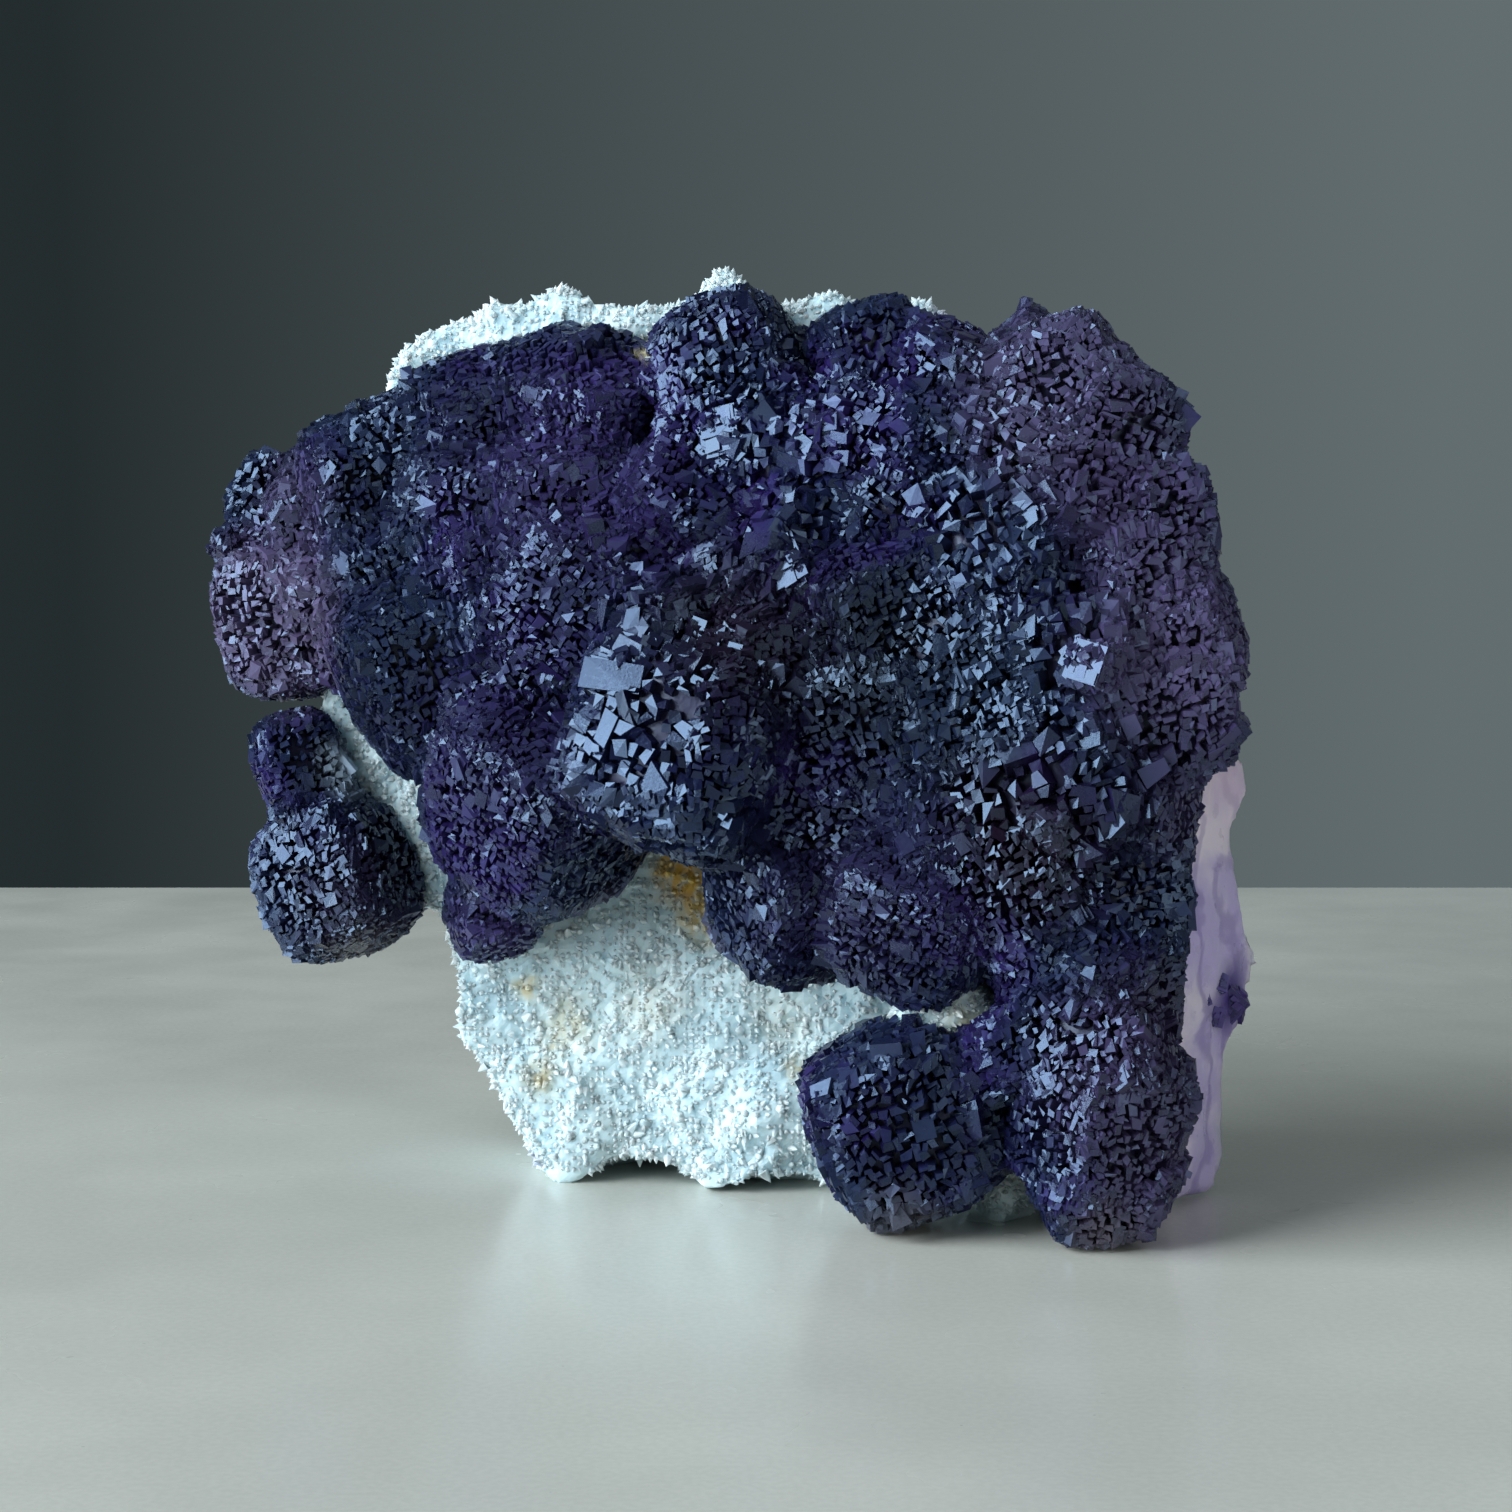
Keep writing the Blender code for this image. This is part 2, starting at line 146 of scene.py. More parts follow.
UPPER_FIELD = (
    Nodule(-2.4, 99.2, 9.7, 3, 1.0),
    Nodule(-1.0, 94.0, 8.7, 6, 1.0),
    Nodule(13.1, 101.5, 7.0, 3, 1.0),
    Nodule(21.7, 99.5, 6.5, 3, 1.0),
    Nodule(34.8, 99.0, 7.8, 2, 1.0),
    Nodule(40.6, 93.0, 7.8, 2, 1.1),
    Nodule(6.2, 90.0, 8.1, 8, 1.1, 1.1),
    Nodule(13.5, 91.0, 8.3, 7, 1.0),
    Nodule(22.3, 92.0, 7.0, 7, 1.0),
    Nodule(30.3, 90.5, 7.0, 6, 1.0),
    Nodule(-7.5, 86.0, 8.3, 8, 0.9),
    Nodule(-16.7, 96.0, 7.8, 3, 1.0),
    Nodule(-22.5, 97.5, 8.3, 2, 0.9),
    Nodule(-31.7, 94.5, 8.5, 2, 1.0),
    Nodule(-44.4, 86.5, 9.8, 1, 1.0),
    Nodule(-40.0, 92.0, 7.2, 2, 0.9),
    Nodule(-49.0, 83.0, 7.2, -1, 1.2),
    Nodule(-33.0, 85.0, 8.7, 5, 1.0),
    Nodule(-21.0, 86.5, 9.4, 5, 0.9),
    Nodule(-13.3, 81.0, 7.6, 7, 1.0),
)

LEFT_FIELD = (
    Nodule(-54.4, 72.0, 7.8, -2, 1.35),
    Nodule(-55.9, 85.5, 4.8, -3, 1.2),
    Nodule(-47.0, 73.0, 7.2, 1, 1.2),
    Nodule(-36.5, 67.5, 12.6, 3, 1.1),
    Nodule(-40.5, 77.0, 8.1, 4, 1.0),
    Nodule(-29.5, 74.5, 10.2, 5, 1.0),
    Nodule(-20.5, 75.0, 9.8, 8, 1.0),
    Nodule(-26.5, 62.5, 8.7, 6, 1.0),
    Nodule(-30.6, 37.8, 5.4, 3, 1.1),
    Nodule(-24.6, 51.5, 13.4, 7, 1.0),
)

MIDDLE_FIELD = (
    Nodule(-7.6, 57.8, 13.3, 14, 1.0, 1.40),
    Nodule(-8.5, 70.0, 8.7, 11, 1.0, 1.1),
    Nodule(3.9, 79.0, 7.2, 12, 1.2, 1.2),
    Nodule(3.5, 68.5, 9.2, 11, 1.0),
    Nodule(17.1, 83.0, 7.0, 10, 1.0),
    Nodule(26.4, 81.0, 7.6, 11, 1.0, 1.1),
    Nodule(14.3, 73.5, 10.2, 11, 1.0),
    Nodule(22.4, 69.5, 8.1, 12, 1.0),
    Nodule(12.5, 61.0, 9.4, 11, 1.0),
    Nodule(21.0, 60.5, 8.1, 12, 1.0),
    Nodule(28.5, 61.5, 7.6, 12, 1.0),
    Nodule(5.0, 53.5, 8.1, 9, 1.0),
)

RIGHT_FIELD = (
    Nodule(37.0, 84.0, 8.3, 6, 1.0),
    Nodule(46.6, 83.0, 6.3, 3, 1.1),
    Nodule(31.5, 72.5, 7.2, 10, 1.0),
    Nodule(37.2, 68.8, 7.2, 12, 1.0, 1.25),
    Nodule(43.5, 76.0, 7.2, 6, 1.0),
    Nodule(48.6, 70.0, 7.4, 4, 1.0),
    Nodule(47.4, 61.5, 7.6, 5, 1.1),
    Nodule(34.5, 52.5, 11.3, 9, 1.0, 1.3),
    Nodule(43.0, 51.0, 8.0, 5, 1.1),
    Nodule(41.2, 41.0, 8.8, 5, 1.1),
    Nodule(42.0, 29.5, 7.2, 5, 1.2),
)

LOWER_FIELD = (
    Nodule(4.2, 39.8, 9.9, 7, 1.0),
    Nodule(10.5, 48.0, 8.4, 8, 1.0),
    Nodule(19.1, 38.2, 10.4, 9, 1.0),
    Nodule(22.5, 49.5, 8.8, 9, 1.0),
    Nodule(31.5, 42.5, 9.4, 9, 1.0),
    Nodule(37.5, 32.5, 9.2, 8, 1.0),
    Nodule(30.5, 21.5, 5.8, 10, 0.9),
    Nodule(17.5, 13.4, 11.8, 8, 1.0, 1.0),
    Nodule(40.2, 21.5, 8.2, 9, 1.0),
    Nodule(40.0, 12.5, 8.6, 10, 1.1),
    Nodule(39.6, 4.6, 6.4, 10, 0.9),
    Nodule(44.0, 6.0, 5.2, 8, 0.9),
    Nodule(43.4, 16.0, 6.0, 7, 1.1),
)

LEFT_PAIR = (
    Nodule(-52.6, 55.0, 6.4, 0, 1.1),
    Nodule(-48.6, 42.0, 9.6, 1, 1.05),
)


@dataclass(frozen=True)
class Crystal:
    """One cube that stands out: its middle in the front view, its side and how far it stands out,
    in millimetres, and its turn in degrees."""

    across: float
    up: float
    side: float
    lift: float
    turn: tuple[float, float, float]


CRYSTALS = (
    Crystal(-3.0, 93.0, 6.0, 12.5, (-12, -15, -29)),
    Crystal(3.9, 77.5, 6.5, 17.5, (-15, -28, -26)),
    Crystal(4.6, 90.5, 5.0, 14, (30, 20, -15)),
    Crystal(54.6, 59.5, 4.0, 4, (30, 40, 20)),
    Crystal(55.0, 27.5, 4.0, -21.5, (25, 35, 15)),
    Crystal(53.2, 25.6, 2.6, -18.0, (10, 20, 40)),
    Crystal(53.6, 29.4, 2.4, -17.6, (-20, 15, 25)),
    Crystal(56.0, 26.0, 2.2, -23.2, (35, 10, -15)),
    Crystal(52.0, 27.6, 1.9, -15.4, (15, -20, 10)),
    Crystal(-60.5, 80.5, 4.0, 0, (35, 30, -20)),
    Crystal(31.5, 105.0, 4.5, 0, (40, 30, 15)),
    Crystal(39.2, 66.5, 5.0, 18.5, (-14, 15, -40)),
    Crystal(34.0, 48.0, 5.5, 18, (25, 10, -20)),
    Crystal(-15.0, 66.0, 5.5, 22, (30, -15, -35)),
)


def mesh_from_arrays(name: str, points: np.ndarray, faces: np.ndarray) -> bpy.types.Mesh:
    """A mesh from arrays.

    Args:
        name: the mesh's name.
        points: one row of three coordinates for each point.
        faces: one row of point numbers for each face.

    Returns:
        The mesh, flat shaded.
    """
    corners = faces.shape[1]
    mesh = bpy.data.meshes.new(name)
    mesh.vertices.add(len(points))
    mesh.vertices.foreach_set("co", points.astype(np.float32).ravel())
    mesh.loops.add(faces.size)
    mesh.loops.foreach_set("vertex_index", faces.astype(np.int32).ravel())
    mesh.polygons.add(len(faces))
    mesh.polygons.foreach_set("loop_start", np.arange(0, faces.size, corners, dtype=np.int32))
    mesh.update(calc_edges=True)
    mesh.validate()
    mesh.shade_flat()
    return mesh


def points_of(mesh: bpy.types.Mesh) -> np.ndarray:
    """A mesh's points.

    Args:
        mesh: the mesh.

    Returns:
        One row of three coordinates for each point.
    """
    points = np.zeros(len(mesh.vertices) * 3, np.float32)
    mesh.vertices.foreach_get("co", points)
    return points.reshape(-1, 3).astype(float)


def normals_of(mesh: bpy.types.Mesh) -> np.ndarray:
    """A mesh's point normals.

    Args:
        mesh: the mesh.

    Returns:
        One row for each point.
    """
    normals = np.zeros(len(mesh.vertices) * 3, np.float32)
    mesh.vertex_normals.foreach_get("vector", normals)
    return normals.reshape(-1, 3).astype(float)


def move_points(mesh: bpy.types.Mesh, points: np.ndarray) -> None:
    """Sets a mesh's points."""
    mesh.vertices.foreach_set("co", points.astype(np.float32).ravel())
    mesh.update()


def evened_copy(node: Node, voxel: float, name: str) -> bpy.types.Mesh:
    """A fine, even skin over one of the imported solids.

    Args:
        node: the solid.
        voxel: size of the skin's faces in metres.
        name: the mesh's name.

    Returns:
        The new mesh. The solid stays as it is.
    """
    carrier = bpy.data.objects.new(name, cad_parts[node.value].data.copy())
    bpy.context.scene.collection.objects.link(carrier)
    skin = carrier.modifiers.new("skin", "REMESH")
    skin.mode = "VOXEL"
    skin.voxel_size = voxel
    bpy.context.view_layer.update()
    graph = bpy.context.evaluated_depsgraph_get()
    mesh = bpy.data.meshes.new_from_object(carrier.evaluated_get(graph))
    mesh.name = name
    bpy.data.objects.remove(carrier, do_unlink=True)
    return mesh


def surface_tree(node: Node) -> BVHTree:
    """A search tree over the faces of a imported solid.

    Args:
        node: the solid.

    Returns:
        The tree, in metres.
    """
    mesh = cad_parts[node.value].data
    places = [point.co.copy() for point in mesh.vertices]
    return BVHTree.FromPolygons(places, [tuple(face.vertices) for face in mesh.polygons])


def nearness(tree: BVHTree, points: np.ndarray) -> np.ndarray:
    """Distance from each point to a solid's surface."""
    return np.array([tree.find_nearest(Vector(point))[3] for point in points])


def layered_noise(points: np.ndarray, layers: tuple[tuple[float, float], ...]) -> np.ndarray:
    """Smooth noise summed over layers.

    Args:
        points: the places, one row each.
        layers: pairs of the noise's size and its height, in metres.

    Returns:
        One height for each point.
    """
    total = np.zeros(len(points))
    for size, height in layers:
        total += height * np.array([noise.noise(Vector(point) / size) for point in points])
    return total


def pebbles(points: np.ndarray, size: float) -> np.ndarray:
    """How near each point is to the middle of a cell of the given size, from 0 to about 1."""
    depths = [noise.voronoi(Vector(point) / size)[0][0] for point in points]
    return 1.0 - np.clip(np.array(depths), 0.0, 1.0)


def groups(points: np.ndarray, size: float) -> np.ndarray:
    """A direction that neighbours within patches of the given size share, of length up to 1."""
    cores = [noise.voronoi(Vector(point) / size)[1][0] for point in points]
    return np.array([noise.noise_vector(core * 9.7) for core in cores])


def turned(frames: np.ndarray, turns: np.ndarray) -> np.ndarray:
    """Turns frames by rotation vectors.

    Args:
        frames: 3 by 3 matrices whose columns are the axes.
        turns: one rotation vector each, whose length is the angle.

    Returns:
        The turned matrices.
    """
    angle = np.linalg.norm(turns, axis=1)
    axis = turns / np.maximum(angle, 1e-9)[:, None]
    cross = np.zeros((len(turns), 3, 3))
    cross[:, 0, 1] = -axis[:, 2]
    cross[:, 0, 2] = axis[:, 1]
    cross[:, 1, 0] = axis[:, 2]
    cross[:, 1, 2] = -axis[:, 0]
    cross[:, 2, 0] = -axis[:, 1]
    cross[:, 2, 1] = axis[:, 0]
    sine = np.sin(angle)[:, None, None]
    bend = (1.0 - np.cos(angle))[:, None, None]
    rotation = np.eye(3) + sine * cross + bend * (cross @ cross)
    return rotation @ frames


def towards(start: np.ndarray, goal: np.ndarray, share: float) -> np.ndarray:
    """Rotation vectors that turn each start direction a share of the way to its goal.

    Args:
        start: one direction each.
        goal: the direction that each turns to.
        share: how much of the way.

    Returns:
        One rotation vector each.
    """
    across = np.cross(start, goal)
    length = np.linalg.norm(across, axis=1)
    angle = np.arctan2(length, np.einsum("ij,ij->i", start, goal))
    return across / np.maximum(length, 1e-9)[:, None] * (angle * share)[:, None]


def standing_frames(normals: np.ndarray, share: float) -> np.ndarray:
    """Upright frames, turned a share of the way to the surface's normals.

    Args:
        normals: the surface's normals, one row each.
        share: how much of the way.

    Returns:
        3 by 3 matrices whose columns are the axes.
    """
    count = len(normals)
    upright = np.broadcast_to(np.eye(3), (count, 3, 3))
    return turned(upright, towards(np.tile((0.0, 0.0, 1.0), (count, 1)), normals, share))


@dataclass
class Blocks:
    """Many small crystals as arrays: middles, frames, sizes and how much each narrows outwards."""

    middles: list[np.ndarray] = field(default_factory=list)
    frames: list[np.ndarray] = field(default_factory=list)
    sizes: list[np.ndarray] = field(default_factory=list)
    tapers: list[np.ndarray] = field(default_factory=list)
    ragged: float = 0.0

    HALVES = ((-0.5, -0.5), (0.5, -0.5), (0.5, 0.5), (-0.5, 0.5))
    SIDES = ((3, 2, 1, 0), (4, 5, 6, 7), (0, 1, 5, 4), (1, 2, 6, 5), (2, 3, 7, 6), (3, 0, 4, 7))
    SLIP_SHARES = (1.0, 1.0, 0.4)

    def add(
        self, middles: np.ndarray, frames: np.ndarray, sizes: np.ndarray, tapers: np.ndarray
    ) -> None:
        """Adds a batch.

        Args:
            middles: middle of each block.
            frames: each block's axes as columns; the third points out of the surface.
            sizes: each block's three sides.
            tapers: how wide the outer face is, as a share of the inner one.
        """
        self.middles.append(middles)
        self.frames.append(frames)
        self.sizes.append(sizes)
        self.tapers.append(tapers)

    def mesh(self, name: str, lowest: float) -> bpy.types.Mesh:
        """One mesh of all blocks.

        Args:
            name: the mesh's name.
            lowest: blocks that reach below this height are left out.

        Returns:
            The mesh, six four-sided faces for each block.
        """
        middles = np.concatenate(self.middles)
        frames = np.concatenate(self.frames)
        sizes = np.concatenate(self.sizes)
        tapers = np.concatenate(self.tapers)
        corners = np.array([(x, y, z) for z in (-0.5, 0.5) for x, y in self.HALVES])
        local = corners[None] * sizes[:, None]
        local[:, 4:, :2] *= tapers[:, None, None]
        slips = np.random.default_rng(len(middles)).uniform(-1.0, 1.0, (len(middles), 4, 3))
        local[:, 4:] += self.ragged * slips * sizes[:, None] * self.SLIP_SHARES
        points = middles[:, None] + np.einsum("nij,nkj->nki", frames, local)
        points = points[points[:, :, 2].min(axis=1) > lowest]
        numbers = np.array(self.SIDES)[None] + 8 * np.arange(len(points))[:, None, None]
        return mesh_from_arrays(name, points.reshape(-1, 3), numbers.reshape(-1, 4))


@dataclass
class GrownNodule:
    """A nodule in its place: a rounded cube, turned and stretched as its solid is."""

    middle: np.ndarray
    turn: np.ndarray
    stretch: np.ndarray
    radius: float
    grain: float

    # The solid's own numbers, so that both take the same random draws
    FACE_SIZE = 5.2
    FACES_ROUND = 1.6
    STRETCH = (0.92, 1.08)
    TURN = 0.6

    CUBENESS = 2.9
    WIDTH_OF_SIDE = 1.64
    FEWEST_ROWS = 5
    ROW_SWAY = (0.5, 1.1)
    ROW_BENDS = 4.0
    ROW_JITTER = 0.24

    @classmethod
    def plant(cls, nodule: Nodule, draw: random.Random) -> GrownNodule:
        """Places a nodule, with the same turn and stretch as its solid.

        Args:
            nodule: its sizes.
            draw: the random numbers of its field, taken in the solid's own order.

        Returns:
            The nodule in its place.
        """
        segments = max(3, round(cls.FACES_ROUND * nodule.radius / cls.FACE_SIZE))
        for _ in range(6 * segments**2 + 2):
            draw.random()
        stretch = np.array([draw.uniform(*cls.STRETCH), draw.uniform(*cls.STRETCH), nodule.tall])
        angles = [draw.uniform(-cls.TURN, cls.TURN) for _ in range(3)]
        return cls(
            middle=np.array(VIEW.place(nodule.across, nodule.up, nodule.lift)),
            turn=np.array(Euler(angles).to_matrix()),
            stretch=stretch,
            radius=nodule.radius * MM,
            grain=nodule.grain * MM,
        )

    def level(self, points: np.ndarray) -> np.ndarray:
        """How far out each point lies: 1 on the nodule's skin, less inside it."""
        local = (points - self.middle) @ self.turn / self.stretch
        return (np.abs(local / self.radius) ** self.CUBENESS).sum(axis=1) ** (1 / self.CUBENESS)

    def skin(self, draw: np.random.Generator) -> tuple[np.ndarray, np.ndarray, np.ndarray]:
        """Rows of cells over the nodule's six sides.

        Args:
            draw: the random numbers.

        Returns:
            For each cell its place, the axes of the side that it is on, and the way out.
        """
        rows = max(self.FEWEST_ROWS, round(self.WIDTH_OF_SIDE * self.radius / self.grain))
        cell = 2.0 / rows
        steps = (np.arange(rows) + 0.5) * cell - 1.0
        along, beside = (grid.ravel() for grid in np.meshgrid(steps, steps))
        places, frames, normals = [], [], []
        for axis in range(3):
            for sign in (-1.0, 1.0):
                phase = draw.uniform(0, math.tau, 2)
                sway = draw.uniform(*self.ROW_SWAY, 2) * cell
                cube = np.zeros((len(along), 3))
                cube[:, axis] = sign
                first, second = (axis + 1) % 3, (axis + 2) % 3
                cube[:, first] = along + sway[0] * np.sin(self.ROW_BENDS * beside + phase[0])
                cube[:, second] = beside + sway[1] * np.sin(self.ROW_BENDS * along + phase[1])
                cube[:, [first, second]] += draw.normal(0, self.ROW_JITTER * cell, (len(along), 2))
                bent = np.sin(np.clip(cube, -1, 1) * math.pi / 4) * math.sqrt(2)
                size = (np.abs(bent) ** self.CUBENESS).sum(axis=1) ** (1 / self.CUBENESS)
                local = bent / size[:, None]
                out = np.sign(local) * np.abs(local) ** (self.CUBENESS - 1)
                out /= np.linalg.norm(out, axis=1)[:, None]
                axes = np.zeros((3, 3))
                if sign > 0:
                    axes[first, 0] = axes[second, 1] = 1.0
                else:
                    axes[second, 0] = axes[first, 1] = 1.0
                axes[axis, 2] = sign
                places.append(self.middle + (local * self.radius * self.stretch) @ self.turn.T)
                frames.append(np.broadcast_to(self.turn @ axes, (len(along), 3, 3)))
                normals.append(out @ self.turn.T)
        return np.concatenate(places), np.concatenate(frames), np.concatenate(normals)


class Wiring:
    """The node tree of one material, built by short calls."""

    def __init__(self, name: str) -> None:
        """Starts a material with one Principled shader.

        Args:
            name: the material's name.
        """
        self.material = bpy.data.materials.new(name)
        self.material.use_nodes = True
        self.tree = self.material.node_tree
        self.shader = self.tree.nodes["Principled BSDF"]
        self.place = self.add("ShaderNodeTexCoord").outputs["Object"]

    def add(self, kind: str, inputs: dict | None = None, **settings: object) -> bpy.types.Node:
        """Adds a node.

        Args:
            kind: the node's type.
            inputs: values or sockets for its inputs, by name or number.
            settings: its own settings.

        Returns:
            The node.
        """
        node = self.tree.nodes.new(kind)
        for name, value in settings.items():
            setattr(node, name, value)
        for key, value in (inputs or {}).items():
            self.feed(node.inputs[key], value)
        return node

    def feed(self, target: Socket, value: object) -> None:
        """Links a socket, or sets a value.

        Args:
            target: the input.
            value: a socket, a number, a colour or a vector.
        """
        if isinstance(value, Socket):
            self.tree.links.new(value, target)
        elif isinstance(value, tuple) and target.type == "RGBA":
            target.default_value = (*value[:3], 1.0)
        else:
            target.default_value = value

    def finish(self, **inputs: object) -> bpy.types.Material:
        """Feeds the shader.

        Args:
            inputs: the shader's inputs, with _ for each space in a name.

        Returns:
            The material.
        """
        for name, value in inputs.items():
            self.feed(self.shader.inputs[name.replace("_", " ")], value)
        return self.material

    def sum(self, kind: str, first: Value, second: Value = 0.0) -> Socket:
        """A Math node's result."""
        return self.add("ShaderNodeMath", {0: first, 1: second}, operation=kind).outputs[0]

    def span(self, value: Value, low: float, high: float, to: tuple[float, float] = (0, 1)) -> Socket:
        """A value brought smoothly from one range to another.

        Args:
            value: the value.
            low: start of its range.
            high: end of its range.
            to: the new range.

        Returns:
            The result's socket.
        """
        node = self.add("ShaderNodeMapRange", interpolation_type="SMOOTHSTEP")
        for number, part in enumerate((value, low, high, *to)):
            self.feed(node.inputs[number], part)
        return node.outputs[0]

    def mix(self, share: Value, first: object, second: object) -> Socket:
        """Two colours mixed.

        Args:
            share: how much of the second.
            first: a colour or a socket.
            second: a colour or a socket.

        Returns:
            The result's socket.
        """
        node = self.add("ShaderNodeMix", data_type="RGBA")
        for number, part in ((0, share), (6, first), (7, second)):
            self.feed(node.inputs[number], part)
        return node.outputs[2]

    def scaled(self, vector: object, share: Value) -> Socket:
        """A colour or a place, times a number."""
        return self.add("ShaderNodeVectorMath", {0: vector, "Scale": share}, operation="SCALE").outputs[0]

    def noise(self, size: float, detail: float = 3.0, place: Socket | None = None) -> Socket:
        """Smooth noise whose lumps are of a size in metres."""
        inputs = {"Vector": place or self.place, "Scale": 1.0 / size, "Detail": detail}
        return self.add("ShaderNodeTexNoise", inputs).outputs["Fac"]

    def cells(self, size: float) -> Socket:
        """Distance from the middle of cells of a size in metres."""
        inputs = {"Vector": self.place, "Scale": 1.0 / size}
        return self.add("ShaderNodeTexVoronoi", inputs).outputs["Distance"]

    def swayed(self, size: float, reach: float) -> Socket:
        """The place, moved by noise.

        Args:
            size: size of the noise's lumps in metres.
            reach: how far it moves in metres.

        Returns:
            The moved place.
        """
        drift = self.add("ShaderNodeTexNoise", {"Vector": self.place, "Scale": 1.0 / size})
        centred = self.add(
            "ShaderNodeVectorMath", {0: drift.outputs["Color"], 1: (0.5, 0.5, 0.5)}, operation="SUBTRACT"
        )
        drift = self.scaled(centred.outputs[0], 2 * reach)
        moved = self.add("ShaderNodeVectorMath", {0: self.place, 1: drift}, operation="ADD")
        return moved.outputs[0]

    def flattened(self, place: Socket, deep: float) -> Socket:
        """A place brought nearer in depth, for areas that are some times deeper than wide."""
        squash = (1.0, 1.0 / deep, 1.0)
        return self.add("ShaderNodeVectorMath", {0: place, 1: squash}, operation="MULTIPLY").outputs[0]

    def near(self, middle: Vector, radius: float, soft: float, place: Socket, deep: float = 1.0) -> Socket:
        """1 near a point and 0 away from it.

        Args:
            middle: the point.
            radius: distance at which it is half.
            soft: half the width of the change.
            place: the place that is tested, flattened where the area is deeper than wide.
            deep: how many times deeper than wide the area is.

        Returns:
            The share's socket.
        """
        middle = (middle.x, middle.y / deep, middle.z)
        far = self.add("ShaderNodeVectorMath", {0: place, 1: middle}, operation="DISTANCE")
        return self.span(far.outputs["Value"], radius + soft, radius - soft)

    def bump(self, height: Socket, distance: float, strength: float = 1.0) -> Socket:
        """A relief's normal."""
        inputs = {"Height": height, "Distance": distance, "Strength": strength}
        return self.add("ShaderNodeBump", inputs).outputs["Normal"]

    def island(self) -> Socket:
        """A number that differs from crystal to crystal."""
        return self.add("ShaderNodeNewGeometry").outputs["Random Per Island"]


@dataclass(frozen=True)
class Tint:
    """A place on the specimen with a colour of its own, sized in millimetres."""

    across: float
    up: float
    lift: float
    radius: float
    soft: float
    colour: Colour


# Where the violet turns paler, bluer or wine red
FLUORITE_TINTS = (
    Tint(-55, 72, 2, 11, 4, (0.070, 0.050, 0.105)),
    Tint(-52, 85, 2, 6, 4, (0.050, 0.038, 0.085)),
    Tint(36, 98, 8, 12, 6, (0.060, 0.046, 0.105)),
    Tint(45, 84, 8, 9, 5, (0.052, 0.036, 0.095)),
    Tint(48, 68, 6, 10, 7, (0.095, 0.070, 0.160)),
    Tint(50, 52, 4, 7, 5, (0.050, 0.038, 0.100)),
    Tint(14, 66, 22, 10, 7, (0.003, 0.004, 0.013)),
    Tint(26, 63, 24, 7, 5, (0.012, 0.020, 0.048)),
    Tint(31, 46, 18, 9, 8, (0.012, 0.005, 0.014)),
    Tint(-2, 70, 18, 10, 9, (0.009, 0.004, 0.012)),
    Tint(-22, 88, 10, 13, 10, (0.026, 0.016, 0.074)),
    Tint(-28, 58, 14, 10, 9, (0.014, 0.009, 0.044)),
    Tint(12, 40, 16, 10, 9, (0.016, 0.011, 0.044)),
    Tint(44, 20, 12, 10, 6, (0.044, 0.030, 0.080)),
    Tint(46, 8, 10, 8, 5, (0.060, 0.044, 0.105)),
    Tint(-45, 38, 10, 9, 5, (0.016, 0.011, 0.032)),
    Tint(54.5, 27.5, -20, 5, 3, (0.085, 0.050, 0.200)),
    Tint(-45.5, 33.5, 2, 4.5, 3, (0.075, 0.066, 0.075)),
    Tint(17.0, 3.0, 10, 5, 3, (0.085, 0.078, 0.090)),
    Tint(41.0, 0.0, 12, 4, 3, (0.090, 0.070, 0.090)),
    Tint(-47.0, 55.5, 4, 3.4, 2.4, (0.22, 0.27, 0.33)),
    Tint(-30.6, 36.5, 5, 4.5, 3, (0.050, 0.036, 0.120)),
    Tint(-32.0, 41.0, 6, 1.8, 1.6, (0.17, 0.19, 0.27)),
    Tint(-19.0, 39.0, 2, 3.6, 2.6, (0.055, 0.046, 0.080)),
    Tint(-3.5, 35.0, 2, 3.2, 2.6, (0.060, 0.050, 0.085)),
    Tint(6.0, 28.5, 2, 3.6, 2.6, (0.055, 0.046, 0.078)),
    Tint(-40.1, 81.3, 6, 1.9, 0.8, (0.46, 0.54, 0.50)),
    Tint(-12.3, 101.6, 4, 1.9, 0.8, (0.50, 0.44, 0.22)),
)


